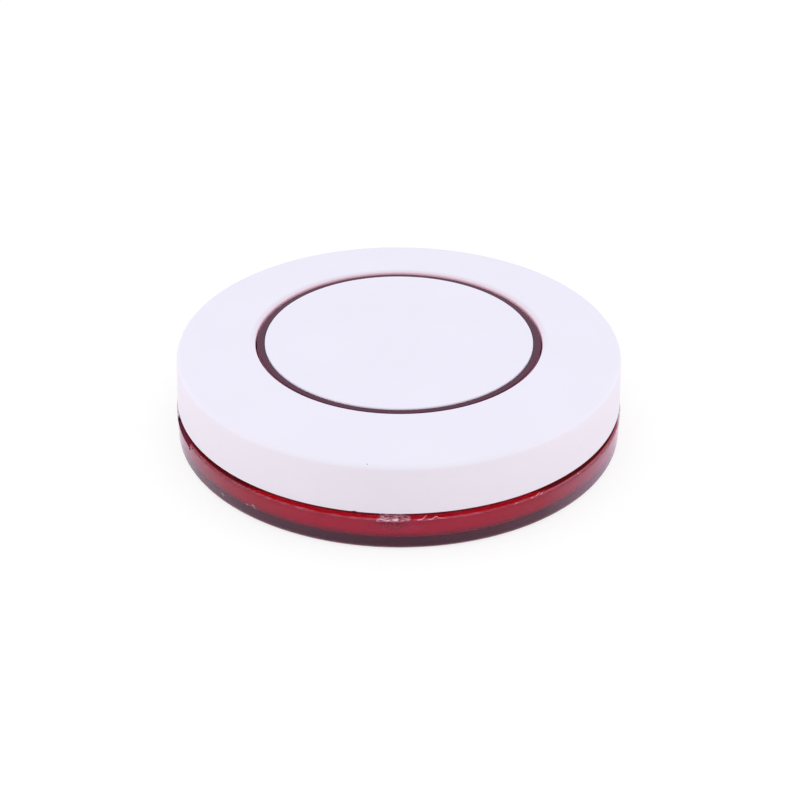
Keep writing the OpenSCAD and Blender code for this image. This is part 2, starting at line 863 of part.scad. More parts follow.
module battery_cell() {
    edge = 0.5;
    crimp = 0.25;
    shoulder = cell_len - nub_len;
    color("goldenrod") translate([cell_foot_x, cell_y, cell_z]) rotate([0, 90, 0])
        rotate_extrude() polygon([
            [0, 0], [cell_r - 2 * edge, 0], [cell_r - 2 * edge, crimp],
            [cell_r - edge, crimp], [cell_r, crimp + edge],
            [cell_r, shoulder - edge], [cell_r - edge, shoulder], [nub_d / 2, shoulder],
            [nub_d / 2, cell_len - crimp], [nub_d / 2 - crimp, cell_len], [0, cell_len]
        ]);
}

// Contact plate standing in its holder, with a tail that turns down through the board
module contact_plate(x) {
    front = cell_y - contact_half;
    back = cell_y + contact_half;
    foot = floor_t + contact_gap;
    tail_foot = board_z - pin_tail;
    tail_under = board_top + contact_gap;
    tail_top = board_top + tail_h;
    translate([min(x, x + sign(x) * contact_t), 0, 0]) rotate([90, 0, 90]) linear_extrude(contact_t)
        polygon([
            [front, foot], [back, foot], [back, tail_under],
            [tail_y - tail_w, tail_under], [tail_y - tail_w, tail_foot],
            [tail_y, tail_foot], [tail_y, tail_top],
            [back, tail_top], [back, cell_top - contact_bevel],
            [back - contact_bevel, cell_top], [front + contact_bevel, cell_top],
            [front, cell_top - contact_bevel]
        ]);
}

module positive_contact() {
    color("burlywood") contact_plate(plus_x);
}

module negative_contact() {
    color("lightgray") contact_plate(minus_x);
}

echo(str("Overall ", body_d, " x ", body_d, " x ", disc_crown, " mm"));
echo(str("Least gap between the spring's turns ", least_gap(spring_path, spring_wire), " mm"));
echo(str("Least gap between the coil's turns ", least_gap(coil_path, coil_wire), " mm"));

base_shell();
top_cover();
button_carrier();
button_disc();
circuit_board();
board_screws();
switch_body();
switch_plate();
switch_legs();
switch_dome();
switch_stem();
encoder_chip();
rf_transistor();
component_leads();
saw_resonator();
tuning_coil();
chip_resistors();
chip_capacitors();
chip_terminals();
indicator_leds();
loop_antenna();
battery_cell();
positive_contact();
negative_contact();
contact_spring();
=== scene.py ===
import math

import bmesh
import bpy
from mathutils import Euler, Matrix, Vector, noise


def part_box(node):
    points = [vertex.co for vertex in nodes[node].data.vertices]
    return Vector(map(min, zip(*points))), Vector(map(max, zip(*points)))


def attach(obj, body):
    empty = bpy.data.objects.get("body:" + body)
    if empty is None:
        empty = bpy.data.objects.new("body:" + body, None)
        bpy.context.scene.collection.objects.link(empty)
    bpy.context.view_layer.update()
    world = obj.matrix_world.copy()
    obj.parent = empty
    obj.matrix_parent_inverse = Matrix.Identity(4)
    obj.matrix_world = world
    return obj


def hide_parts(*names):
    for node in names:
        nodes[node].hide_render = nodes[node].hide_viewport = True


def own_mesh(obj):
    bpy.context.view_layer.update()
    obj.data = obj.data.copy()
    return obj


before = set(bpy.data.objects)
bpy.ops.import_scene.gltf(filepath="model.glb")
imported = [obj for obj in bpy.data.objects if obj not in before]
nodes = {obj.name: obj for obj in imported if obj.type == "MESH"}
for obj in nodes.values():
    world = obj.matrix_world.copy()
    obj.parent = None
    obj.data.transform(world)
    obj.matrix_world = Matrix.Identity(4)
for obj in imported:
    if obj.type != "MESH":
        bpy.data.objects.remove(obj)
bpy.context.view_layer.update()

# Sizes are in millimetres, angles in degrees. +Z is up and the front is at -Y.
MM = 0.001


def low(node):
    """Lowest corner of a node, in millimetres."""
    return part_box(node)[0] / MM


def high(node):
    """Highest corner of a node, in millimetres."""
    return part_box(node)[1] / MM


# Base
BASE_R = high("base_shell").x
BASE_H = 4.75
BASE_WALL = 1.6
FLOOR_T = 1.3
BASE_DRAFT = 0.15
BASE_EDGE_R = 1
RIM_EDGE_R = 0.3
RIM_STEPS = 5
FLOOR_EDGE_R = 0.7
PAD_R = 22
PAD_DEPTH = 0.3
BASE_IN_R = BASE_R - BASE_WALL
FOOT_R = BASE_R - BASE_DRAFT

# Coin slot in the base's rim
SLOT_W = 7.6
SLOT_DEPTH = 0.75
SLOT_REACH = 1
SLOT_ANGLE = 196.5
SLOT_HOOK_W = 0.5
SLOT_HOOK_H = 0.3

# Snap beads of the cover and their pockets in the base
BEAD_COUNT = 4
BEAD_W = 4
BEAD_H = 0.4
BEAD_HALF = 0.6
SNAP_GAP = 0.15
POCKET_HALF = 1.1
POCKET_FADE = 4

# Cover
COVER_R = high("top_cover").x
COVER_DRAFT = 0.1
COVER_TOP_R = COVER_R - COVER_DRAFT
COVER_WALL = 1.6
COVER_IN_R = COVER_R - COVER_WALL
COVER_TOP_T = 1.6
COVER_EDGE_R = 0.7
SHOULDER_R = COVER_TOP_R - COVER_EDGE_R
GROOVE_H = 0.8
COVER_Z = BASE_H + GROOVE_H
DOME_R = 174
OPENING_R = 19.2
OPENING_EDGE_R = 0.25
COLLAR_WALL = 1.4
TONGUE_T = 1.2
TONGUE_Z = low("top_cover").z
TONGUE_GAP = 0.15
ROOT_H = 2
ROOT_LEDGE = 0.1

# Button
DISC_R = high("button_disc").x
DISC_CROWN = high("button_disc").z
DISC_T = 1
DISC_EDGE_R = 0.2
DISC_GAP = 0.05
DISC_SINK = 0.2
CARRIER_Z = low("button_carrier").z
FLANGE_R = high("button_carrier").x
FLANGE_T = 0.8
STOP_GAP = 0.1
RING_R = 18.95
RING_BEVEL = 0.15
RING_SINK = 0.2
POCKET_R = DISC_R + DISC_GAP
POCKET_BEVEL = 0.04
PLATE_T = 1.2
SKIRT_T = 1.2
BOSS_R = 2.25
STEM_GAP = 0.12
RIB_COUNT = 6
RIB_T = 0.8
RIB_RISE = 0.2
RIB_ROOT = 0.5
RIB_STEP = 0.05
PEG_R = 0.75
PEG_CIRCLE_R = 12
PEG_ANGLES = (30, 150, 270)
PEG_GAP = 0.1
PEG_PROUD = 0.3

# Facets of one turn, in general, where an outline changes with the angle, and on small pieces
TURN_STEPS = 288
FINE_STEPS = 720
POST_STEPS = 48
PEG_STEPS = 24

# Angle to either side of an abrupt change, and the distance under which corners are merged
STEP_OVER = 1e-5
MERGE_DISTANCE = 1e-4

# Distance between a round edge and the next point of the dome beside it
EDGE_SKIP = 0.1

# Edges over this angle stay sharp
SMOOTH_ANGLE = 35


def sag(r):
    """Drop of the domed surfaces at a distance from the axis."""
    return DOME_R - math.sqrt(DOME_R**2 - r**2)


# Heights of the cover's collar and dome, and of the button's plate, ring and boss
COLLAR_Z = CARRIER_Z + FLANGE_T + STOP_GAP
COVER_CROWN = DISC_CROWN + DISC_SINK
PLATE_CROWN = DISC_CROWN - DISC_T - DISC_GAP
RING_Z = DISC_CROWN - sag(DISC_R) - RING_SINK
BOSS_Z = high("switch_stem").z + STEM_GAP


def polar(r, angle):
    """The two coordinates of a place at a distance and an angle."""
    return r * math.cos(math.radians(angle)), r * math.sin(math.radians(angle))


def spaced(start, end, steps):
    """Evenly spaced values, with both ends."""
    return [start + (end - start) * i / steps for i in range(steps + 1)]


def arc(x, z, r, start, end, steps=8):
    """Points of an arc in an outline of radius and height."""
    return [(x + polar(r, a)[0], z + polar(r, a)[1]) for a in spaced(start, end, steps)]


def dome_line(crown, start, end, steps=14):
    """Points along a domed surface, from one distance from the axis to another."""
    return [(r, crown - sag(r)) for r in spaced(start, end, steps)]


def dome_edge(crown, x, e):
    """Where a round edge with its middle x from the axis touches a dome from inside.

    Gives the height of its middle, and the angle of the place where they touch.
    """
    rise = math.sqrt((DOME_R - e) ** 2 - x * x)
    return crown - DOME_R + rise, math.degrees(math.atan2(rise, x))


def turn_from(angle, middle):
    """Signed angle from a middle direction."""
    return (angle - middle + 180) % 360 - 180


def half_width(w, r):
    """Half of the angle that a width takes up at a radius."""
    return math.degrees(math.asin(w / (2 * r)))


def mesh_object(name, bm):
    """Object made from a bmesh in millimetres."""
    bmesh.ops.scale(bm, vec=(MM, MM, MM), verts=bm.verts)
    bmesh.ops.recalc_face_normals(bm, faces=bm.faces)
    mesh = bpy.data.meshes.new(name)
    bm.to_mesh(mesh)
    bm.free()
    obj = bpy.data.objects.new(name, mesh)
    bpy.context.scene.collection.objects.link(obj)
    return obj


def turned(name, outline, breaks=(), steps=TURN_STEPS, closed=False):
    """Solid turned about Z from an outline that may change with the angle, abruptly at the breaks."""
    angles = [i * 360 / steps for i in range(steps)]
    for b in breaks:
        angles += [(b - STEP_OVER) % 360, (b + STEP_OVER) % 360]
    angles.sort()
    bm = bmesh.new()
    columns = []
    for angle in angles:
        points = outline(angle)
        columns.append([bm.verts.new((*polar(r, angle), z)) for r, z in points])
    for a, b in zip(columns, columns[1:] + columns[:1]):
        count = len(a)
        for i in range(count if closed else count - 1):
            j = (i + 1) % count
            bm.faces.new([a[i], b[i], b[j], a[j]])
    bmesh.ops.remove_doubles(bm, verts=bm.verts, dist=MERGE_DISTANCE)
    return mesh_object(name, bm)


def prism(name, outline, start, end, along="Z"):
    """Solid pushed along an axis from an outline of the other two, in the order X, Y, Z."""
    def place(p, d):
        return {"X": (d, p[0], p[1]), "Y": (p[0], d, p[1]), "Z": (p[0], p[1], d)}[along]
    bm = bmesh.new()
    ends = [[bm.verts.new(place(p, d)) for p in outline] for d in (start, end)]
    bm.faces.new(ends[0])
    bm.faces.new(ends[1])
    for i in range(len(outline)):
        j = (i + 1) % len(outline)
        bm.faces.new([ends[0][i], ends[0][j], ends[1][j], ends[1][i]])
    return mesh_object(name, bm)


def drop(obj):
    """Removes an object and its mesh."""
    mesh = obj.data
    bpy.data.objects.remove(obj)
    bpy.data.meshes.remove(mesh)


def settle(obj):
    """Replaces a mesh by what its modifiers make of it."""
    graph = bpy.context.evaluated_depsgraph_get()
    done = bpy.data.meshes.new_from_object(obj.evaluated_get(graph))
    old = obj.data
    obj.modifiers.clear()
    obj.data = done
    bpy.data.meshes.remove(old)
    done.name = obj.name


def combine(obj, others, operation):
    """Adds other solids to a solid, or cuts them out of it, and removes them."""
    for other in others:
        step = obj.modifiers.new(operation.lower(), "BOOLEAN")
        step.operation = operation
        step.object = other
        step.solver = "EXACT"
    settle(obj)
    for other in others:
        drop(other)


def smooth(obj, angle=SMOOTH_ANGLE):
    """Smooth shading, with edges over an angle kept sharp."""
    for face in obj.data.polygons:
        face.use_smooth = True
    obj.data.set_sharp_from_angle(angle=math.radians(angle))


# Places of the snap beads, and radii of the tongue that carries them
BEAD_Z = (TONGUE_Z + BASE_H) / 2
BEAD_ANGLES = [i * 360 / BEAD_COUNT for i in range(BEAD_COUNT)]
TONGUE_R = BASE_IN_R - TONGUE_GAP
TONGUE_IN_R = TONGUE_R - TONGUE_T

# Worn stretch of the base's rim, at the front: its angle, half of the angle that it takes up,
# how deep, uneven and fine it is, and its place in the noise
WORN_ANGLE = 269
WORN_HALF = 4.2
WORN_DEPTH = 0.12
WORN_UNEVEN = 0.45
WORN_SCALE = 3.1
WORN_SEED = 5

# Small nicks all round the rim: how deep and how fine they are
RIM_NICK = 0.025
RIM_NICK_SCALE = 2.3

# Share of the wear that is taken off the outside where the rim's round edge starts
WEAR_AT_SIDE = 0.3

# Points over the height of a snap pocket
POCKET_STEPS = 12


def in_any(angle, middles, half):
    """Tells whether an angle is near one of several directions."""
    return any(abs(turn_from(angle, m)) < half for m in middles)


def rim_wear(angle):
    """Depth that handling has taken off the rim's outer edge."""
    x, y = polar(BASE_R, angle)
    fine = max(0, noise.noise(Vector((x, y, 0)) * RIM_NICK_SCALE)) * RIM_NICK
    near = max(0, 1 - abs(turn_from(angle, WORN_ANGLE)) / WORN_HALF)
    uneven = noise.noise(Vector((x, y, WORN_SEED)) * WORN_SCALE)
    extent = math.sqrt(near) * WORN_DEPTH * (1 - WORN_UNEVEN + WORN_UNEVEN * uneven)
    return fine + extent


def slot_depth(angle):
    """Depth of the coin slot at an angle, with a small hook at its front end."""
    past = turn_from(angle, SLOT_ANGLE)
    half = half_width(SLOT_W, BASE_R)
    if abs(past) > half:
        return 0
    return SLOT_DEPTH + (SLOT_HOOK_H if half - past < 2 * half_width(SLOT_HOOK_W, BASE_R) else 0)


def pocket_depth(angle):
    """Depth of the snap pockets at an angle, with sides that run out gently."""
    past = min(abs(turn_from(angle, a)) for a in BEAD_ANGLES)
    full = half_width(BEAD_W + 2 * SNAP_GAP, BASE_IN_R)
    share = min(1, max(0, 1 - (past - full) / POCKET_FADE))
    return BEAD_H * share * share * (3 - 2 * share)


def side_slope():
    """Radius that the base's side gains with its height."""
    return BASE_DRAFT / (BASE_H - RIM_EDGE_R - BASE_EDGE_R)


def base_outline(angle):
    """Outline of the base, from the pad recess round the wall to the middle of its floor."""
    slope = side_slope()
    cut_depth = slot_depth(angle)
    slot_z = BASE_H - (cut_depth or SLOT_DEPTH)
    slot_r = BASE_R - SLOT_REACH
    wear = rim_wear(angle)
    points = [(0, PAD_DEPTH), (PAD_R, PAD_DEPTH), (PAD_R, 0)]
    points += arc(FOOT_R - BASE_EDGE_R, BASE_EDGE_R, BASE_EDGE_R, -90, 0)
    points.append((FOOT_R + slope * (slot_z - BASE_EDGE_R), slot_z))
    shares = [i / RIM_STEPS for i in range(RIM_STEPS + 1)]
    if cut_depth:
        points += [(slot_r, slot_z + share * cut_depth) for share in shares]
    else:
        rounded = arc(BASE_R - RIM_EDGE_R, BASE_H - RIM_EDGE_R, RIM_EDGE_R, 0, 90, RIM_STEPS)
        points += [
            (r - wear * (WEAR_AT_SIDE + (1 - WEAR_AT_SIDE) * share), z - wear * (1 - share))
            for share, (r, z) in zip(shares, rounded)
        ]
    points.append((BASE_IN_R, BASE_H))
    depth = pocket_depth(angle)
    for share in spaced(1, -1, POCKET_STEPS):
        dent = depth * (1 + math.cos(math.pi * share)) / 2
        points.append((BASE_IN_R + dent, BEAD_Z + POCKET_HALF * share))
    points += arc(BASE_IN_R - FLOOR_EDGE_R, FLOOR_T + FLOOR_EDGE_R, FLOOR_EDGE_R, 0, -90)
    points.append((0, FLOOR_T))
    return points


# What stands on the base's floor
ROOT = 0.4
BOARD_Z = low("circuit_board").z
BOARD_TOP = high("circuit_board").z
POST_R = 2.5
POST_CIRCLE_R = 21.35
POST_ANGLES = (0, 90, 180)
PILOT_R = 1
PILOT_FLOOR = 0.05
CELL_R = (high("battery_cell").z - low("battery_cell").z) / 2
CELL_Z = (high("battery_cell").z + low("battery_cell").z) / 2
CELL_Y = (high("battery_cell").y + low("battery_cell").y) / 2
SADDLE_PITCH = 17
SADDLE_T = 1.2
SADDLE_W = 6
SADDLE_H = 1.8
SADDLE_TOP = CELL_Z - CELL_R + SADDLE_H
SEAT_GAP = 0.1
SEAT_STEPS = 16
HOLDER_W = 1.8
HOLDER_IN = 2.9
HOLDER_DROP = 0.3
HOLDER_TOP = BOARD_TOP - HOLDER_DROP
GRIP = 0.75
CONTACT_SLOT = 0.5


def post(angle):
    """Post with a pilot hole for a board screw."""
    obj = turned(
        "post",
        lambda _: [
            (0, FLOOR_T - ROOT), (POST_R, FLOOR_T - ROOT), (POST_R, BOARD_Z),
            (PILOT_R, BOARD_Z), (PILOT_R, FLOOR_T + PILOT_FLOOR), (0, FLOOR_T + PILOT_FLOOR),
        ],
        steps=POST_STEPS,
    )
    x, y = polar(POST_CIRCLE_R, angle)
    for v in obj.data.vertices:
        v.co += Vector((x, y, 0)) * MM
    return obj


def saddle(x):
    """Rib with a round seat for the cell."""
    half = SADDLE_W / 2
    seat_r = CELL_R + SEAT_GAP
    open_angle = math.degrees(math.acos((CELL_Z - SADDLE_TOP) / seat_r))
    seat = arc(CELL_Y, CELL_Z, seat_r, -90 - open_angle, -90 + open_angle, SEAT_STEPS)
    seat = [(y, z) for y, z in seat if abs(y - CELL_Y) < half]
    low_z = FLOOR_T - ROOT
    outline = [(CELL_Y - half, low_z), (CELL_Y + half, low_z)]
    edge_z = CELL_Z - math.sqrt(seat_r**2 - half**2)
    outline += [(CELL_Y + half, edge_z)] + seat[::-1] + [(CELL_Y - half, edge_z)]
    return prism("saddle", outline, x - SADDLE_T / 2, x + SADDLE_T / 2, "X")


def holder(x, side):
    """Slotted column that holds one edge of a contact plate."""
    near, far = HOLDER_IN, HOLDER_IN + HOLDER_W
    slot_end = HOLDER_IN + GRIP
    w, s = HOLDER_W / 2, CONTACT_SLOT / 2
    outline = [(-w, near), (-s, near), (-s, slot_end), (s, slot_end)]
    outline += [(s, near), (w, near), (w, far), (-w, far)]
    outline = [(x + px, CELL_Y + side * py) for px, py in outline]
    return prism("holder", outline, FLOOR_T - ROOT, HOLDER_TOP)


def make_base():
    """Base with its posts, saddles and holders."""
    slot_half = half_width(SLOT_W, BASE_R)
    slot_end = SLOT_ANGLE + slot_half
    breaks = [SLOT_ANGLE - slot_half, slot_end - 2 * half_width(SLOT_HOOK_W, BASE_R), slot_end]
    base = turned("base", base_outline, breaks, steps=FINE_STEPS)
    extras = [post(a) for a in POST_ANGLES]
    extras += [saddle(s * SADDLE_PITCH / 2) for s in (-1, 1)]
    for contact in ("positive_contact", "negative_contact"):
        x = (low(contact).x + high(contact).x) / 2
        extras += [holder(x, side) for side in (-1, 1)]
    combine(base, extras, "UNION")
    smooth(base)
    return base


# Slivers that stand off the rim, at the front and the right: each point's place along X,
# then how far it is out from the rim's edge and up from it
BURRS = (
    (
        (2.45, 0, -0.02), (2.75, 0.02, 0.02), (3.05, 0.03, 0.1),
        (3.25, 0, 0.27), (3.42, -0.05, 0.43), (3.6, -0.1, 0.56),
    ),
    (
        (3.8, 0, -0.02), (4.25, 0.01, 0), (4.45, 0.02, 0.1), (4.58, 0.01, 0.26), (4.72, 0.01, 0.33),
        (4.86, 0.01, 0.31), (5, 0.02, 0.2), (5.12, 0.02, 0.08), (5.45, 0.01, 0.02), (5.9, 0, -0.02),
    ),
    ((14.85, 0, -0.02), (15, 0.03, 0.05), (15.15, 0, 0)),
    ((16.9, 0, -0.02), (17.05, 0.03, 0.06), (17.25, 0, 0.02)),
    ((17.55, 0, 0), (17.7, 0.02, 0.1), (17.9, 0.01, 0.26), (18.05, 0, 0.34)),
    ((18.15, 0, 0), (18.3, 0.03, 0.08), (18.45, 0.02, 0.2)),
    ((23.15, -0.05, 0.1), (23.3, 0.03, 0.02), (23.4, 0.04, -0.1)),
)

# Their radius, the share of it that is lost towards the end, their sides and their smooth angle
BURR_R = 0.07
BURR_TAPER = 0.6
BURR_SIDES = 6
BURR_SMOOTH = 80


def make_burrs():
    """Slivers as thin tubes that taper off."""
    edge_r = BASE_R - RIM_EDGE_R / 4
    edge_z = BASE_H - RIM_EDGE_R / 4
    bm = bmesh.new()
    for path in BURRS:
        rings = []
        for i, (x, out, up) in enumerate(path):
            r = edge_r + out
            middle = Vector((x, -math.sqrt(r * r - x * x), edge_z + up))
            thick = BURR_R * (1 - BURR_TAPER * i / len(path))
            ring = [polar(thick, a * 360 / BURR_SIDES) for a in range(BURR_SIDES)]
            rings.append([bm.verts.new(middle + Vector((0, dy, dz))) for dy, dz in ring])
        for a, b in zip(rings, rings[1:]):
            for i in range(BURR_SIDES):
                j = (i + 1) % BURR_SIDES
                bm.faces.new([a[i], a[j], b[j], b[i]])
        bm.faces.new(rings[0])
        bm.faces.new(rings[-1])
    burrs = mesh_object("rim_burrs", bm)
    smooth(burrs, BURR_SMOOTH)
    return burrs


# Small nick in the cover's lower edge, and the rounding of that edge
NICK_ANGLE = 259.3
NICK_HALF = 0.55
NICK_H = 0.16
COVER_FOOT_R = 0.05


def cover_outline(angle):
    """Outline of the cover, from its collar over the top and the side, then back inside."""
    e = OPENING_EDGE_R
    opening_z, opening_touch = dome_edge(COVER_CROWN, OPENING_R + e, e)
    side_z, side_touch = dome_edge(COVER_CROWN, SHOULDER_R, COVER_EDGE_R)
    in_edge = COVER_EDGE_R / 2
    in_crown = COVER_CROWN - COVER_TOP_T
    in_z, in_touch = dome_edge(in_crown, COVER_IN_R - in_edge, in_edge)
    bead_r = TONGUE_R + (BEAD_H if in_any(angle, BEAD_ANGLES, half_width(BEAD_W, TONGUE_R)) else 0)
    nick = NICK_H * max(0, 1 - abs(turn_from(angle, NICK_ANGLE)) / NICK_HALF)
    foot_z = COVER_Z + nick
    root_z = COVER_Z + ROOT_H
    points = [(OPENING_R, COLLAR_Z)]
    points += arc(OPENING_R + e, opening_z, e, 180, opening_touch, steps=6)
    points += dome_line(COVER_CROWN, OPENING_R + e + EDGE_SKIP, SHOULDER_R, steps=16)[:-1]
    points += arc(SHOULDER_R, side_z, COVER_EDGE_R, side_touch, 0, steps=10)
    points += arc(COVER_R - COVER_FOOT_R, foot_z + COVER_FOOT_R, COVER_FOOT_R, 0, -90, steps=4)
    points += [
        (TONGUE_R, COVER_Z),
        (TONGUE_R, BEAD_Z + BEAD_HALF),
        (bead_r, BEAD_Z + BEAD_HALF / 2),
        (bead_r, BEAD_Z - BEAD_HALF / 2),
        (TONGUE_R, BEAD_Z - BEAD_HALF),
    ]
    points += arc(TONGUE_R - FLOOR_EDGE_R, TONGUE_Z + FLOOR_EDGE_R, FLOOR_EDGE_R, 0, -90, steps=5)
    points += [
        (TONGUE_IN_R, TONGUE_Z),
        (TONGUE_IN_R, root_z - TONGUE_T),
        (COVER_IN_R - ROOT_LEDGE, root_z),
        (COVER_IN_R, root_z),
    ]
    points += arc(COVER_IN_R - in_edge, in_z, in_edge, 0, in_touch, steps=6)
    collar_r = OPENING_R + COLLAR_WALL
    points += dome_line(in_crown, COVER_IN_R - in_edge - EDGE_SKIP, collar_r, steps=10)
    points.append((collar_r, COLLAR_Z))
    return points


def make_cover():
    """Cover with its collar, tongue and snap beads."""
    half = half_width(BEAD_W, TONGUE_R)
    breaks = [a + s * half for a in BEAD_ANGLES for s in (-1, 1)]
    cover = turned("cover", cover_outline, breaks, steps=FINE_STEPS, closed=True)
    smooth(cover)
    return cover


def disc_outline(_):
    """Outline of the disc, over its top and back under it."""
    e = DISC_EDGE_R
    edge_z, touch = dome_edge(DISC_CROWN, DISC_R - e, e)
    low_crown = DISC_CROWN - DISC_T
    points = dome_line(DISC_CROWN, 0, DISC_R - e - EDGE_SKIP / 2, steps=18)
    points += arc(DISC_R - e, edge_z, e, touch, 0, steps=6)
    points += dome_line(low_crown, DISC_R, 0, steps=12)
    return points


def peg(angle, r, z0, z1):
    """Peg of the disc, or the hole for one, between two heights."""
    x, y = polar(PEG_CIRCLE_R, angle)
    ring = [polar(r, i * 360 / PEG_STEPS) for i in range(PEG_STEPS)]
    return prism("peg", [(x + px, y + py) for px, py in ring], z0, z1)


def make_disc():
    """Disc with its pegs."""
    disc = turned("disc", disc_outline)
    drop_at = sag(PEG_CIRCLE_R)
    z0 = PLATE_CROWN - PLATE_T - drop_at - PEG_PROUD
    z1 = DISC_CROWN - DISC_T / 2 - drop_at
    combine(disc, [peg(a, PEG_R, z0, z1) for a in PEG_ANGLES], "UNION")
    smooth(disc)
    return disc


def carrier_outline(_):
    """Outline of the carrier, over its plate and ring, round its flange and back under it."""
    flange_z = CARRIER_Z + FLANGE_T
    skirt_in = RING_R - SKIRT_T
    under = PLATE_CROWN - PLATE_T
    points = dome_line(PLATE_CROWN, 0, POCKET_R)
    points += [
        (POCKET_R, RING_Z - POCKET_BEVEL), (POCKET_R + POCKET_BEVEL, RING_Z),
        (RING_R - RING_BEVEL, RING_Z), (RING_R, RING_Z - RING_BEVEL),
        (RING_R, flange_z), (FLANGE_R, flange_z), (FLANGE_R, CARRIER_Z), (skirt_in, CARRIER_Z),
    ]
    points += dome_line(under, skirt_in, BOSS_R, steps=12)
    points += [(BOSS_R, BOSS_Z), (0, BOSS_Z)]
    return points


def rib(angle):
    """Rib under the button's plate, from its boss out to its skirt."""
    reach = RING_R - SKIRT_T / 2
    rib_z = CARRIER_Z + RIB_RISE
    start_z = BOSS_Z + RIB_STEP
    inner, outer = BOSS_R - RIB_ROOT, BOSS_R + RIB_ROOT
    outline = [(inner, start_z), (outer, start_z), (outer, rib_z), (reach, rib_z)]
    outline += dome_line(PLATE_CROWN - PLATE_T / 2, reach, inner, steps=8)
    obj = prism("rib", outline, -RIB_T / 2, RIB_T / 2, "Y")
    obj.data.transform(Euler((0, 0, math.radians(angle))).to_matrix().to_4x4())
    return obj


def make_carrier():
    """Carrier with its ribs, and with holes for the disc's pegs."""
    carrier = turned("carrier", carrier_outline)
    combine(carrier, [rib(i * 360 / RIB_COUNT) for i in range(RIB_COUNT)], "UNION")
    holes = [peg(a, PEG_R + PEG_GAP, CARRIER_Z, DISC_CROWN) for a in PEG_ANGLES]
    combine(carrier, holes, "DIFFERENCE")
    smooth(carrier)
    return carrier


# Colours as they are seen in even white light
WHITE = (0.8, 0.792, 0.878)
COPPER = (0.72, 0.33, 0.17)
TIN = (0.68, 0.68, 0.67)
STEEL = (0.6, 0.6, 0.59)
NICKEL = (0.66, 0.63, 0.56)
BRONZE = (0.6, 0.45, 0.24)
SWITCH_BLACK = (0.022, 0.022, 0.024)
STEM_BLACK = (0.03, 0.03, 0.032)
EPOXY = (0.02, 0.02, 0.021)
GLAZE = (0.03, 0.03, 0.034)
CERAMIC = (0.42, 0.28, 0.15)
LAMP_CUP = (0.8, 0.76, 0.7)
MASK_DARK = (0.012, 0.1, 0.04)
MASK_PALE = (0.02, 0.14, 0.055)
FILM_BLACK = (0.02, 0.02, 0.022)
FILM_GOLD = (0.5, 0.33, 0.08)

# Colours of worn, cut and dirty places, and of painted light, shade and reflections
BURR_PALE = (0.75, 0.36, 0.42)
# Painted shade, in the groove under the cover and in the corner inside the base
PAINTED_SHADE = (0.03, 0.01, 0.014)
# Rubbed pale, and a painted highlight along the rim's edge
RUBBED_AND_HIGHLIGHT = (0.58, 0.24, 0.34)
SCRAPED = (0.9, 0.58, 0.68)
BRUISED = (0.26, 0.03, 0.06)
DULLED = (0.22, 0.06, 0.075)
POCKET_PALE = (0.9, 0.88, 0.92)
# Painted light on the rim's top
LIT_RIM_RED = (0.9, 0.003, 0.012)
CUT_RED = (0.16, 0.02, 0.045)
SPECK = (0.2, 0.17, 0.17)
# Painted red light from the ring, and pink shade beside it, round the cover's opening
RED_BOUNCE_PINK = (0.95, 0.7, 0.8)
RED_BOUNCE_SHADE = (0.66, 0.55, 0.65)
# Painted light on the ring's side
LIT_SIDE_RED = (0.5, 0.18, 0.3)
CHIPPED = (0.5, 0.42, 0.46)
LOW_WALL_PALE = (0.48, 0.22, 0.28)
# Painted reflection on the wall's sides
REFLECTED_PINK = (0.85, 0.45, 0.78)
# Painted light through the rim's ends
LIT_END_GREY = (0.68, 0.66, 0.71)


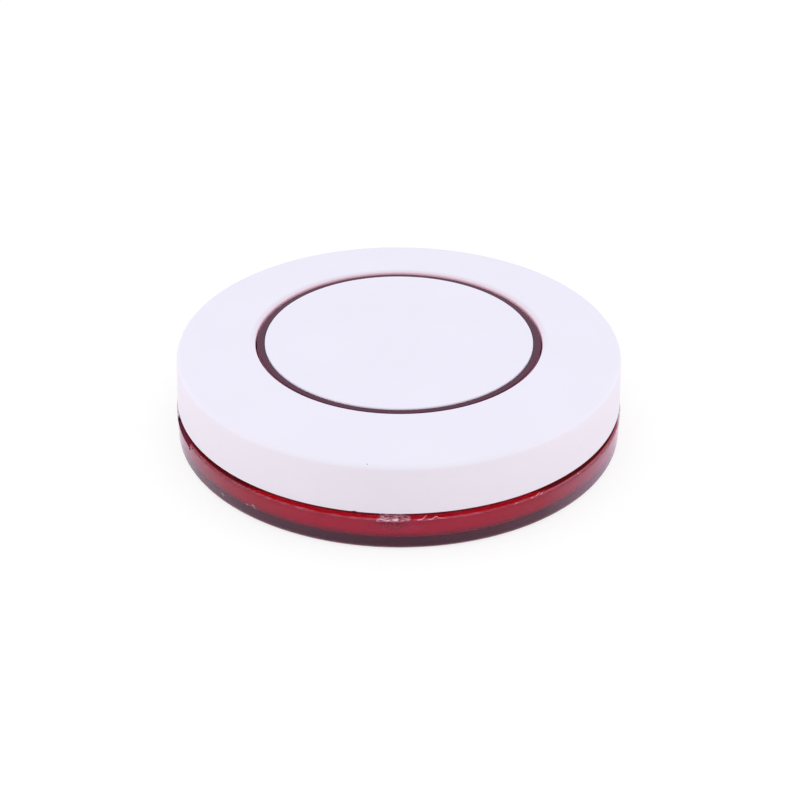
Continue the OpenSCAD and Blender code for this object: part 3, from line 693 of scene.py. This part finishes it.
class Shader:
    """A material and its nodes."""

    def __init__(self, name):
        self.material = bpy.data.materials.new(name)
        self.material.use_nodes = True
        self.tree = self.material.node_tree
        self.main = self.tree.nodes["Principled BSDF"]
        self.out = self.tree.nodes["Material Output"]
        self.coords = self.tree.nodes.new("ShaderNodeTexCoord").outputs["Object"]
        place = self.add("SeparateXYZ", Vector=self.coords)
        self.x, self.y, self.z = (place.outputs[axis] for axis in "XYZ")

    @property
    def radius(self):
        """Distance from the part's axis."""
        square = self.math("ADD", self.math("POWER", self.x, 2), self.math("POWER", self.y, 2))
        return self.math("POWER", square, 0.5)

    @property
    def sideways(self):
        """Distance to the left or the right of the part's axis."""
        return self.math("ABSOLUTE", self.x, 0)

    def feed(self, socket, value):
        """Sets an input, by value or by link."""
        if isinstance(value, bpy.types.NodeSocket):
            self.tree.links.new(value, socket)
        else:
            socket.default_value = value

    def put(self, node, **values):
        """Sets the inputs of a node by their names."""
        for name, value in values.items():
            self.feed(node.inputs[name.replace("_", " ")], value)

    def add(self, kind, **values):
        node = self.tree.nodes.new("ShaderNode" + kind)
        self.put(node, **values)
        return node

    def look(self, **values):
        """Sets the inputs of the main shader."""
        self.put(self.main, **values)

    def stretched(self, x, y, z):
        """The object's own coordinates, stretched along each axis."""
        return self.add("Mapping", Vector=self.coords, Scale=(x, y, z)).outputs["Vector"]

    def noise(self, scale, detail=2.0, vector=None):
        node = self.add("TexNoise", Vector=vector or self.coords, Scale=scale, Detail=detail)
        return node.outputs["Fac"]

    def ramp(self, value, low_at, low_color, high_at, high_color):
        """Colour between two, by a value."""
        node = self.add("ValToRGB", Fac=value)
        stops = zip(node.color_ramp.elements, (low_at, high_at), (low_color, high_color))
        for stop, at, color in stops:
            stop.position = at
            stop.color = (*color, 1)
        return node.outputs["Color"]

    def between(self, value, from_low, from_high, to_low, to_high):
        """A value's range, moved to another range and kept inside it."""
        node = self.add("MapRange", Value=value)
        self.put(node, From_Min=from_low, From_Max=from_high, To_Min=to_low, To_Max=to_high)
        return node.outputs["Result"]

    def fade(self, value, start, end, first, last):
        """From a first share to a last one, between two lengths in millimetres."""
        return self.between(value, start * MM, end * MM, first, last)

    def spots(self, scale, detail, span):
        """Noise, with a part of its range moved to another range."""
        return self.between(self.noise(scale, detail), *span)

    def mottle(self, scale, detail, least, most):
        """Noise between two values."""
        return self.spots(scale, detail, (*NOISE_RANGE, least, most))

    def math(self, operation, *values):
        node = self.tree.nodes.new("ShaderNodeMath")
        node.operation = operation
        for socket, value in zip(node.inputs, values):
            self.feed(socket, value)
        return node.outputs["Value"]

    def over(self, value, limit):
        """1 where a length is over a limit in millimetres, and 0 elsewhere."""
        return self.math("GREATER_THAN", value, limit * MM)

    def under(self, value, limit):
        """1 where a length is under a limit in millimetres, and 0 elsewhere."""
        return self.math("LESS_THAN", value, limit * MM)

    def both(self, first, *others):
        """Product of masks and shares."""
        for other in others:
            first = self.math("MULTIPLY", first, other)
        return first

    def measure(self, operation, vector):
        """Number worked out from the object's own coordinates and a vector."""
        node = self.add("VectorMath")
        node.operation = operation
        self.feed(node.inputs[0], self.coords)
        self.feed(node.inputs[1], vector)
        return node.outputs["Value"]

    def away_from(self, place):
        """Distance from a place in millimetres."""
        return self.measure("DISTANCE", [c * MM for c in place])

    def along(self, angle):
        """Distance from the part's axis along a level direction."""
        return self.measure("DOT_PRODUCT", (*polar(1, angle), 0))

    def overlay(self, color, mask):
        """Covers part of the surface with a matt colour."""
        surface = self.out.inputs["Surface"].links[0].from_socket
        matt = self.add("BsdfDiffuse", Color=(*color, 1))
        mix = self.add("MixShader", Fac=mask)
        self.feed(mix.inputs[1], surface)
        self.feed(mix.inputs[2], matt.outputs["BSDF"])
        self.feed(self.out.inputs["Surface"], mix.outputs["Shader"])

    def bump(self, height, strength, depth):
        """Normal of a surface that rises by a depth in millimetres."""
        node = self.add("Bump", Height=height, Strength=strength, Distance=depth * MM)
        return node.outputs["Normal"]


# Materials: the part of the noise's range that is used, the refraction of clear and white
# plastic, how strongly the red takes up light per metre, and the roughness of its frosted faces
NOISE_RANGE = (0.3, 0.7)
PLASTIC_IOR = 1.5
RED_DENSITY = 1500
FROST = 0.5

# How the mottled colours and the roughness vary: shares of what is given, and a tint that is added
WHITE_SHADE = 0.985
METAL_SHADE = 0.82
PLASTIC_TINT = 1.25
LEAST_TINT = 0.004
METAL_ROUGH = (0.75, 1.3)
PLASTIC_ROUGH = (0.85, 1.15)


def moulded_white(name, color):
    """Opaque white plastic with a fine matte texture."""
    s = Shader(name)
    darker = tuple(c * WHITE_SHADE for c in color)
    s.look(
        Base_Color=s.ramp(s.noise(scale=90), 0.35, darker, 0.65, color),
        Roughness=s.mottle(scale=1400, detail=3, least=0.42, most=0.52),
        Normal=s.bump(s.noise(scale=5200, detail=3), strength=0.12, depth=0.02),
        IOR=PLASTIC_IOR,
    )
    return s


def clear_red(name, body, clear, shine, left, frost_r, frost_low, frost_full, frost_high):
    """Clear red plastic, polished, with frosted faces inside a radius and between two heights.

    body is the colour of its own surface, clear its share of clear plastic, shine the tint of
    what it mirrors, and left the colour that light keeps on its way through.
    """
    s = Shader(name)
    frosted = s.both(
        s.fade(s.z, frost_low, frost_full, 0, 1),
        s.under(s.z, frost_high),
        s.under(s.radius, frost_r),
    )
    polish = s.spots(scale=700, detail=4, span=(0.35, 0.75, 0.02, 0.09))
    s.look(
        Base_Color=(*body, 1),
        Roughness=s.math("MAXIMUM", polish, s.both(frosted, FROST)),
        Normal=s.bump(s.noise(scale=260), strength=0.05, depth=0.05),
        Transmission_Weight=clear,
        Specular_Tint=(*shine, 1),
        IOR=PLASTIC_IOR,
    )
    depth = s.add("VolumeAbsorption", Color=(*left, 1), Density=RED_DENSITY)
    s.feed(s.out.inputs["Volume"], depth.outputs["Volume"])
    return s


def metal(name, color, rough, grain=(1, 1, 1)):
    """Bare or plated metal with a drawn grain."""
    s = Shader(name)
    darker = tuple(c * METAL_SHADE for c in color)
    least, most = (rough * share for share in METAL_ROUGH)
    lines = s.noise(scale=1800, detail=4, vector=s.stretched(*grain))
    s.look(
        Base_Color=s.ramp(s.noise(scale=500, detail=3), 0.35, darker, 0.7, color),
        Metallic=1.0,
        Roughness=s.between(lines, *NOISE_RANGE, least, most),
        Normal=s.bump(lines, strength=0.1, depth=0.01),
    )
    return s.material


def plastic(name, color, rough=0.45):
    """Opaque moulded plastic, epoxy or fired ceramic."""
    s = Shader(name)
    paler = tuple(min(1, c * PLASTIC_TINT + LEAST_TINT) for c in color)
    least, most = (rough * share for share in PLASTIC_ROUGH)
    s.look(
        Base_Color=s.ramp(s.noise(scale=700, detail=3), 0.35, color, 0.7, paler),
        Roughness=s.mottle(scale=1500, detail=3, least=least, most=most),
        Normal=s.bump(s.noise(scale=3600, detail=3), strength=0.15, depth=0.02),
    )
    return s.material


# Size of the board's tinned holes in their cells, and length of the black band on the cell's film
TINNED_HOLE = 0.07
BAND_W = 9


def solder_mask(name):
    """Green lacquer over glass fibre, with small tinned holes here and there."""
    s = Shader(name)
    cells = s.add("TexVoronoi", Vector=s.coords, Scale=230.0).outputs["Distance"]
    weave = s.noise(scale=2600)
    s.look(
        Base_Color=s.ramp(s.noise(scale=160, detail=3), 0.35, MASK_DARK, 0.65, MASK_PALE),
        Roughness=s.between(weave, *NOISE_RANGE, 0.25, 0.4),
        Normal=s.bump(weave, strength=0.1, depth=0.01),
        Coat_Weight=0.3,
    )
    s.overlay(TIN, s.math("LESS_THAN", cells, TINNED_HOLE))
    return s.material


def cell_film(name):
    """Plain printed film round the cell: gold, with a black band at the foot end."""
    s = Shader(name)
    gold = s.over(s.x, low("battery_cell").x + BAND_W)
    s.look(
        Base_Color=s.ramp(gold, 0.4, FILM_BLACK, 0.6, FILM_GOLD),
        Metallic=0.4,
        Roughness=s.mottle(scale=900, detail=3, least=0.28, most=0.4),
        Normal=s.bump(s.noise(scale=1100), strength=0.1, depth=0.02),
    )
    return s.material


# Masks reach this far past the faces that they cover
SKIN = 0.05
THIN_SKIN = 0.02

# Places on the base: the height of the rim's flat top, the radius that the snap pockets reach,
# and a radius that only the wall's outer face lies beyond
RIM_TOP = BASE_H - SKIN
POCKET_END_R = BASE_IN_R + BEAD_H + SKIN
WALL_R = FOOT_R - 0.3

# Shares of the matt colours that are even all over their places
LIT_RIM_SHARE = 0.3
SLOT_SHARE = 0.8
POCKET_SHARE = 0.9
BRUISE_SHARE = 0.6

# Fades of the painted shade: from one length to another, and what holds at each of them
GROOVE_SHADE_SPREAD = (16.5, 20, 0, 0.8 * MM)
GROOVE_SHADE_EDGE = (BASE_R - 1.15, BASE_R - 0.85, 1, 0)
GROOVE_SHADE_STRENGTH = (16, 28, 0.7, 0.84)
CORNER_HEIGHT = (FLOOR_T, FLOOR_T + FLOOR_EDGE_R, 0.95, 0)


def lit_rim_top(s):
    """Painted light: a matt bright red lightens the rim's top, standing in for light that the clear
    red carries there.
    """
    rim_top = s.both(s.over(s.z, RIM_TOP), s.over(s.radius, POCKET_END_R))
    s.overlay(LIT_RIM_RED, s.both(rim_top, LIT_RIM_SHARE))


def shaded_groove(s):
    """Painted shade lies against the cover, and spreads over the rim's top towards the sides."""
    reach = s.math("SUBTRACT", s.radius, s.fade(s.sideways, *GROOVE_SHADE_SPREAD))
    groove = s.both(s.fade(reach, *GROOVE_SHADE_EDGE), s.over(s.z, BASE_H - 2 * SKIN))
    s.overlay(PAINTED_SHADE, s.both(groove, s.fade(s.sideways, *GROOVE_SHADE_STRENGTH)))


def shaded_corner(s):
    """Painted shade fills the corner between the base's floor and its wall."""
    corner = s.both(
        s.fade(s.z, *CORNER_HEIGHT),
        s.over(s.z, FLOOR_T - SKIN),
        s.over(s.radius, BASE_IN_R - FLOOR_EDGE_R),
        s.under(s.radius, BASE_IN_R + 2 * SKIN),
    )
    s.overlay(PAINTED_SHADE, corner)


# Strip at each end of the coin slot that keeps the rim's colour, as a share of the rim's radius
SLOT_END = 0.001


def cut_slot(s):
    """The coin slot is left as it was cut, matt."""
    across = s.along(SLOT_ANGLE + 90)
    turn = s.math("ABSOLUTE", s.math("DIVIDE", across, s.radius), 0)
    hook = s.over(across, SLOT_W / 2 - SLOT_HOOK_W - SKIN)
    hooked_z = s.math("ADD", s.z, s.both(hook, SLOT_HOOK_H * MM))
    slot = s.both(
        s.math("LESS_THAN", turn, SLOT_W / 2 / BASE_R - SLOT_END),
        s.over(s.along(SLOT_ANGLE), 0),
        s.under(s.z, BASE_H - THIN_SKIN),
        s.over(hooked_z, BASE_H - SLOT_DEPTH - THIN_SKIN),
        s.over(s.radius, BASE_R - SLOT_REACH - SKIN),
    )
    s.overlay(CUT_RED, s.both(slot, SLOT_SHARE))


# Fades of the pockets, of the pale veil low on the wall, and of the painted reflection at its sides
POCKET_REACH = (BASE_IN_R + 0.01, BASE_IN_R + SKIN, 0, 1)
LOW_PALE_SIDES = (0, 24, 0.03, 0.12)
LOW_PALE_HEIGHT = (1.8, 2.8, 1, 0)
REFLECTION_RIGHT = (18.5, 27, 0, 0.12)
REFLECTION_LEFT = (-27, -20, 0.04, 0)
REFLECTION_HEIGHT = (BASE_H - 0.5, BASE_H - 0.3, 1, 0)


def pale_pockets(s):
    """The snap pockets are matt and pale, as the tongue behind them is."""
    pocket = s.both(
        s.fade(s.radius, *POCKET_REACH),
        s.under(s.radius, POCKET_END_R),
        s.under(s.z, RIM_TOP),
        s.over(s.z, FLOOR_T + FLOOR_EDGE_R),
    )
    s.overlay(POCKET_PALE, s.both(pocket, POCKET_SHARE))


def pale_low_wall(s):
    """A thin pale greyish pink lies over the lower part of the wall, thicker towards the sides."""
    veil = s.both(
        s.fade(s.sideways, *LOW_PALE_SIDES),
        s.fade(s.z, *LOW_PALE_HEIGHT),
        s.over(s.radius, WALL_R),
    )
    s.overlay(LOW_WALL_PALE, veil)


def reflections_on_wall(s):
    """Painted reflection: a faint pale pink on the wall at its two sides, more on the right."""
    reflected = s.math("MAXIMUM", s.fade(s.x, *REFLECTION_RIGHT), s.fade(s.x, *REFLECTION_LEFT))
    on_wall = s.both(s.over(s.radius, WALL_R), s.fade(s.z, *REFLECTION_HEIGHT))
    s.overlay(REFLECTED_PINK, s.both(reflected, on_wall))


# Fades of the rim's edge, rubbed and highlit, and of its lit pale ends, and the radius that these lie
# beyond
EDGE_HEIGHT = (BASE_H - 0.26, BASE_H - 0.14, 0, 1)
EDGE_REACH = (BASE_R - 0.3, BASE_R - 0.15, 0, 1)
HIGHLIGHT_RIGHT = (10, 20, 0, 0.35)
HIGHLIGHT_LEFT = (-20, -10, 0.16, 0)
LIT_END_SIDES = (29.05, 29.6, 0, 0.85)
LIT_END_HEIGHT = (BASE_H - 0.45, BASE_H - 0.3, 0, 1)
LIT_END_FRONT = (-0.5, 1.5, 1, 0)
LIT_END_R = BASE_R - 0.6

# The same for the spots in them, by the noise's value
RUBBED_SPOTS = (0.4, 0.7, 0.05, 0.4)
LIT_END_SPOTS = (0.4, 0.6, 0.65, 1)


def rim_edge(s):
    """Mask of the rim's outer edge."""
    return s.both(s.fade(s.z, *EDGE_HEIGHT), s.fade(s.radius, *EDGE_REACH))


def rubbed_and_highlit_edge(s):
    """The rim's outer edge is rubbed pale here and there, and has a painted highlight along it,
    stronger on the right.
    """
    spots = s.spots(scale=650, detail=5, span=RUBBED_SPOTS)
    line = s.math("MAXIMUM", s.fade(s.x, *HIGHLIGHT_RIGHT), s.fade(s.x, *HIGHLIGHT_LEFT))
    s.overlay(RUBBED_AND_HIGHLIGHT, s.both(rim_edge(s), s.math("MAXIMUM", spots, line)))


def lit_ends(s):
    """At its two ends, in front of the middle, the rim is painted a pale grey: painted light that the
    clear edge lets through.
    """
    extent = s.both(
        s.fade(s.sideways, *LIT_END_SIDES),
        s.fade(s.z, *LIT_END_HEIGHT),
        s.over(s.radius, LIT_END_R),
        s.spots(scale=1400, detail=4, span=LIT_END_SPOTS),
        s.fade(s.y, *LIT_END_FRONT),
    )
    s.overlay(LIT_END_GREY, extent)


# Scuff on the rim at the front: its middle along X, half its width, and its fades by length or noise
SCUFF_X = -0.8
SCUFF_HALF = 1.95
SCUFF_ACROSS = (SCUFF_HALF - 0.4, SCUFF_HALF, 1, 0)
SCUFF_HEIGHT = (BASE_H - 0.35, BASE_H - 0.2, 0, 1)
SCUFF_RAGGED = (0.3, 0.7, -0.5 * MM, 0.5 * MM)
DULL_ACROSS = (0.8, 2.4, 1, 0)
DULL_HEIGHT = (BASE_H - 2.2, BASE_H - 0.9, 0, 1)
DULL_SPOTS = (0.4, 0.68, 0, 0.6)

# Its scrapes: how they are stretched, how much more of them the edge has, and their strength
SCRAPE_STRETCH = (0.4, 1.9, 3.4)
SCRAPE_ON_EDGE = 0.05
SCRAPE_STRENGTH = (0.49, 0.55, 0, 0.95)


def scuff(s):
    """The scuff is a patch of short white scrapes, with a dull stretch of wall below it."""
    off = s.math("ABSOLUTE", s.math("SUBTRACT", s.x, SCUFF_X * MM), 0)
    front = s.under(s.y, 0)
    dull = s.both(
        s.fade(off, *DULL_ACROSS),
        s.fade(s.z, *DULL_HEIGHT),
        s.spots(scale=2600, detail=4, span=DULL_SPOTS),
        front,
    )
    s.overlay(DULLED, dull)
    ragged = s.math("ADD", off, s.spots(scale=900, detail=4, span=SCUFF_RAGGED))
    patch = s.both(s.fade(ragged, *SCUFF_ACROSS), s.fade(s.z, *SCUFF_HEIGHT), front)
    s.overlay(BRUISED, s.both(patch, BRUISE_SHARE))
    lines = s.noise(scale=4400, detail=4, vector=s.stretched(*SCRAPE_STRETCH))
    lines = s.math("ADD", lines, s.both(rim_edge(s), SCRAPE_ON_EDGE))
    s.overlay(SCRAPED, s.both(patch, s.between(lines, *SCRAPE_STRENGTH)))


# Small chips low on the base's left: angle, height, size and strength
CHIPS = (
    (220.2, 1.66, 0.2, 0.6), (220.45, 1.45, 0.18, 0.55), (229.4, 2.2, 0.2, 0.6),
    (231.4, 2.53, 0.22, 0.7), (231.75, 2.37, 0.17, 0.55), (232, 2.2, 0.15, 0.5),
)


def chips(s):
    """The wall has a few small chips."""
    marks = 0
    for angle, z, size, strength in CHIPS:
        place = (*polar(FOOT_R + side_slope() * (z - BASE_EDGE_R), angle), z)
        mark = s.fade(s.away_from(place), size / 2, size, strength, 0)
        marks = s.math("MAXIMUM", mark, marks)
    s.overlay(CHIPPED, marks)


def wear_base(s):
    """Signs of use and making, and painted light and shade, on the base, each over the ones before
    it.
    """
    layers = (
        lit_rim_top, shaded_groove, shaded_corner, cut_slot, pale_pockets, pale_low_wall, reflections_on_wall,
        rubbed_and_highlit_edge, lit_ends, scuff, chips,
    )
    for layer in layers:
        layer(s)


# Fades of the painted red light from the ring on the cover, round its opening
BOUNCE_REACH = (OPENING_R + 0.25, OPENING_R + 0.9, 0.4, 0)
BOUNCE_BACK = (-4, 6, 0, 1)
BOUNCE_EDGE_REACH = (OPENING_R + 0.01, OPENING_R + 0.15, 1, 0)

# Black speck in the cover, on its upper edge
SPECK_X = -3.87
SPECK_EDGE_ANGLE = 62
SPECK_FADE = (0.05, 0.1, 0.8, 0)


def speck_place():
    """Place of the speck on the cover's round shoulder."""
    shoulder_z, _ = dome_edge(COVER_CROWN, SHOULDER_R, COVER_EDGE_R)
    out, up = polar(COVER_EDGE_R, SPECK_EDGE_ANGLE)
    return SPECK_X, -math.sqrt((SHOULDER_R + out) ** 2 - SPECK_X**2), shoulder_z + up


def mark_cover(s):
    """Painted red light from the ring on the opening's edge, painted pink shade on the surface behind
    it, and the speck.
    """
    s.overlay(RED_BOUNCE_SHADE, s.both(s.fade(s.radius, *BOUNCE_REACH), s.fade(s.y, *BOUNCE_BACK)))
    s.overlay(RED_BOUNCE_PINK, s.fade(s.radius, *BOUNCE_EDGE_REACH))
    s.overlay(SPECK, s.fade(s.away_from(speck_place()), *SPECK_FADE))


# Outer side of the ring: how far in it counts, and its share of matt red, painted lighter
RING_SKIN = 0.03
RING_LIT_SHARE = 0.8


def lighten_ring_side(s):
    """The ring's side is matt and paler than its top: painted light that lifts the shade in the gap
    round the ring.
    """
    side = s.over(s.radius, RING_R - RING_SKIN)
    s.overlay(LIT_SIDE_RED, s.both(side, RING_LIT_SHARE))


def paint(obj, material):
    """Gives an object one material."""
    obj.data.materials.clear()
    obj.data.materials.append(material)


def dress(name, material):
    """Gives a plain node its finish."""
    paint(nodes[name], material)


def finish_piece(obj, node, body, material):
    """A detailed piece takes the place of its plain node."""
    paint(obj, material)
    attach(obj, body)
    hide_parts(node)


base_red = clear_red(
    "clear_red",
    body=(1, 0.97, 0.97),
    clear=1.0,
    shine=(0.76, 0.63, 0.87),
    left=(0.92, 0.015, 0.31),
    frost_r=POCKET_END_R,
    frost_low=FLOOR_T - 1.2,
    frost_full=FLOOR_T + 0.4,
    frost_high=BASE_H - THIN_SKIN,
)
wear_base(base_red)
ring_red = clear_red(
    "clear_red_ring",
    body=(0.12, 0.012, 0.036),
    clear=0.5,
    shine=(0.35, 0.16, 0.36),
    left=(0.85, 0.015, 0.5),
    frost_r=FLANGE_R + 1,
    frost_low=0,
    frost_full=1,
    frost_high=RING_Z - 0.25,
)
lighten_ring_side(ring_red)
cover_white = moulded_white("cover_white", WHITE)
mark_cover(cover_white)
button_white = moulded_white("button_white", WHITE)
finish_piece(make_base(), "base_shell", "case", base_red.material)
finish_piece(make_cover(), "top_cover", "case", cover_white.material)
finish_piece(make_carrier(), "button_carrier", "button", ring_red.material)
finish_piece(make_disc(), "button_disc", "button", button_white.material)

# The switch's snap dome, which flattens as the stem goes down on it, becomes a piece with a mesh of
# its own.
snap_dome = bpy.data.objects.new("snap_dome", nodes["switch_dome"].data.copy())
bpy.context.scene.collection.objects.link(snap_dome)
finish_piece(snap_dome, "switch_dome", "case", metal("dome_steel", STEEL, 0.2))
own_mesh(snap_dome)

burrs = make_burrs()
paint(burrs, plastic("burr_pale", BURR_PALE, 0.5))
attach(burrs, "case")

# Finishes of the plain nodes: colour, roughness and, where it is drawn, the grain's stretch
dress("circuit_board", solder_mask("solder_mask"))
dress("board_screws", metal("zinc", STEEL, 0.3))
dress("switch_body", plastic("switch_black", SWITCH_BLACK))
dress("switch_stem", plastic("stem_black", STEM_BLACK))
dress("switch_plate", metal("pressed_steel", STEEL, 0.28, (1, 8, 1)))
dress("switch_legs", metal("leg_tin", TIN, 0.35))
dress("encoder_chip", plastic("chip_epoxy", EPOXY, 0.5))
dress("rf_transistor", plastic("transistor_epoxy", EPOXY, 0.5))
dress("component_leads", metal("lead_tin", TIN, 0.3))
dress("saw_resonator", metal("can_nickel", NICKEL, 0.22))
dress("tuning_coil", metal("coil_copper", COPPER, 0.25))
dress("loop_antenna", metal("track_copper", COPPER, 0.4))
dress("chip_resistors", plastic("resistor_glaze", GLAZE, 0.3))
dress("chip_capacitors", plastic("capacitor_ceramic", CERAMIC, 0.45))
dress("chip_terminals", metal("terminal_tin", TIN, 0.35))
dress("indicator_leds", plastic("lamp_cup", LAMP_CUP, 0.35))
dress("battery_cell", cell_film("cell_film"))
dress("positive_contact", metal("contact_bronze", BRONZE, 0.3, (1, 1, 6)))
dress("negative_contact", metal("contact_steel", STEEL, 0.3, (1, 1, 6)))
dress("contact_spring", metal("spring_steel", STEEL, 0.25))

# Light, in metres and watts: a white surround, a pale floor, and a soft lamp on each side
# that isn't seen in reflections
WORLD_LIGHT = 1.0
WORLD_COLOR = (1, 0.99, 1.02, 1)
LAMP_SIZE = 0.5
LAMP_PLACES = ((-0.8, -0.1, 0.22), (0.8, -0.1, 0.22))
LAMP_POWER = 1.1
FLOOR_SIZE = 6
FLOOR_COLOR = (0.86, 0.76, 0.71, 1)

# How the surround and the floor look where they are seen, and how far the floor lies below the part
SHOWN_COLOR = (1.06, 1.0, 1.12, 1)
CAMERA_WHITE = (1, 1, 1, 1)
FLOOR_GLOW = 1.02
FLOOR_DROP = 0.02

# How much of the floor's brightness shadows can take away, by the kind of ray that sees it
SHADOW_SHARES = {"Is Glossy Ray": 0.3, "Is Transmission Ray": 0.5, "Is Camera Ray": 0.22}


def seen(tree):
    """1 for the kinds of ray that see a surface, and 0 for those that only light the object."""
    path = tree.nodes.new("ShaderNodeLightPath")
    values = [path.outputs[kind] for kind in SHADOW_SHARES]
    while len(values) > 1:
        step = tree.nodes.new("ShaderNodeMath")
        step.operation = "MAXIMUM"
        tree.links.new(values.pop(), step.inputs[0])
        tree.links.new(values.pop(), step.inputs[1])
        values.append(step.outputs["Value"])
    return values[0]


def make_world():
    """White surround, with a colour of its own for the rays that see it."""
    world = bpy.data.worlds.new("white_room")
    bpy.context.scene.world = world
    world.use_nodes = True
    tree = world.node_tree
    light = tree.nodes["Background"]
    light.inputs["Color"].default_value = WORLD_COLOR
    light.inputs["Strength"].default_value = WORLD_LIGHT
    shown = tree.nodes.new("ShaderNodeBackground")
    shown.inputs["Color"].default_value = SHOWN_COLOR
    shown.inputs["Strength"].default_value = 1
    mix = tree.nodes.new("ShaderNodeMixShader")
    tree.links.new(seen(tree), mix.inputs["Fac"])
    tree.links.new(light.outputs["Background"], mix.inputs[1])
    tree.links.new(shown.outputs["Background"], mix.inputs[2])
    tree.links.new(mix.outputs["Shader"], tree.nodes["World Output"].inputs["Surface"])


def make_floor():
    """Pale floor, with a brightness of its own for each kind of ray that sees it."""
    half = FLOOR_SIZE / MM / 2
    corners = ((-half, -half), (half, -half), (half, half), (-half, half))
    bm = bmesh.new()
    bm.faces.new([bm.verts.new((x, y, -FLOOR_DROP)) for x, y in corners])
    floor = mesh_object("floor", bm)
    s = Shader("pale_floor")
    path = s.add("LightPath")
    surface = s.add("BsdfDiffuse", Color=FLOOR_COLOR).outputs["BSDF"]
    for kind, share in SHADOW_SHARES.items():
        color = CAMERA_WHITE if kind == "Is Camera Ray" else SHOWN_COLOR
        shaded = s.add("BsdfDiffuse", Color=(share, share, share, 1))
        glow = s.add("Emission", Color=color, Strength=FLOOR_GLOW - share)
        shown = s.add("AddShader")
        s.feed(shown.inputs[0], shaded.outputs["BSDF"])
        s.feed(shown.inputs[1], glow.outputs["Emission"])
        mix = s.add("MixShader", Fac=path.outputs[kind])
        s.feed(mix.inputs[1], surface)
        s.feed(mix.inputs[2], shown.outputs["Shader"])
        surface = mix.outputs["Shader"]
    s.feed(s.out.inputs["Surface"], surface)
    paint(floor, s.material)


def make_lamp(place):
    """Soft lamp that points at the part."""
    data = bpy.data.lights.new("soft_lamp", "AREA")
    data.shape = "DISK"
    data.size = LAMP_SIZE
    data.energy = LAMP_POWER
    lamp = bpy.data.objects.new("soft_lamp", data)
    lamp.location = place
    lamp.visible_glossy = False
    lamp.rotation_euler = Vector(place).to_track_quat("Z", "Y").to_euler()
    bpy.context.scene.collection.objects.link(lamp)


# Camera, found from the outlines of the button, the ring and the base in the photograph:
# lengths of the picture in pixels, and the nearest and farthest distance in metres
PHOTO_PX = 800
FOCAL_PX = 2626
SENSOR = 36
EYE_DISTANCE = 351.5
EYE_ELEVATION = 29.49
EYE_ROLL = 0.264
AIM = Vector((0, 0, 13.87))
AIM_PX = (398.5, 339.45)
CLIP_NEAR = 0.01
CLIP_FAR = 20


def make_camera():
    data = bpy.data.cameras.new("camera")
    data.sensor_width = SENSOR
    data.lens = SENSOR * FOCAL_PX / PHOTO_PX
    data.clip_start = CLIP_NEAR
    data.clip_end = CLIP_FAR
    camera = bpy.data.objects.new("camera", data)
    back, up = polar(EYE_DISTANCE, EYE_ELEVATION)
    camera.location = (AIM + Vector((0, -back, up))) * MM
    right = math.atan((PHOTO_PX / 2 - AIM_PX[0]) / FOCAL_PX)
    down = math.radians(EYE_ELEVATION) + math.atan((PHOTO_PX / 2 - AIM_PX[1]) / FOCAL_PX)
    level = Euler((math.pi / 2 - down, 0, -right)).to_matrix()
    camera.rotation_euler = (level @ Matrix.Rotation(math.radians(EYE_ROLL), 3, "Z")).to_euler()
    bpy.context.scene.collection.objects.link(camera)
    bpy.context.scene.camera = camera


make_world()
make_floor()
for lamp_place in LAMP_PLACES:
    make_lamp(lamp_place)
make_camera()
bpy.context.scene.view_settings.view_transform = "Standard"
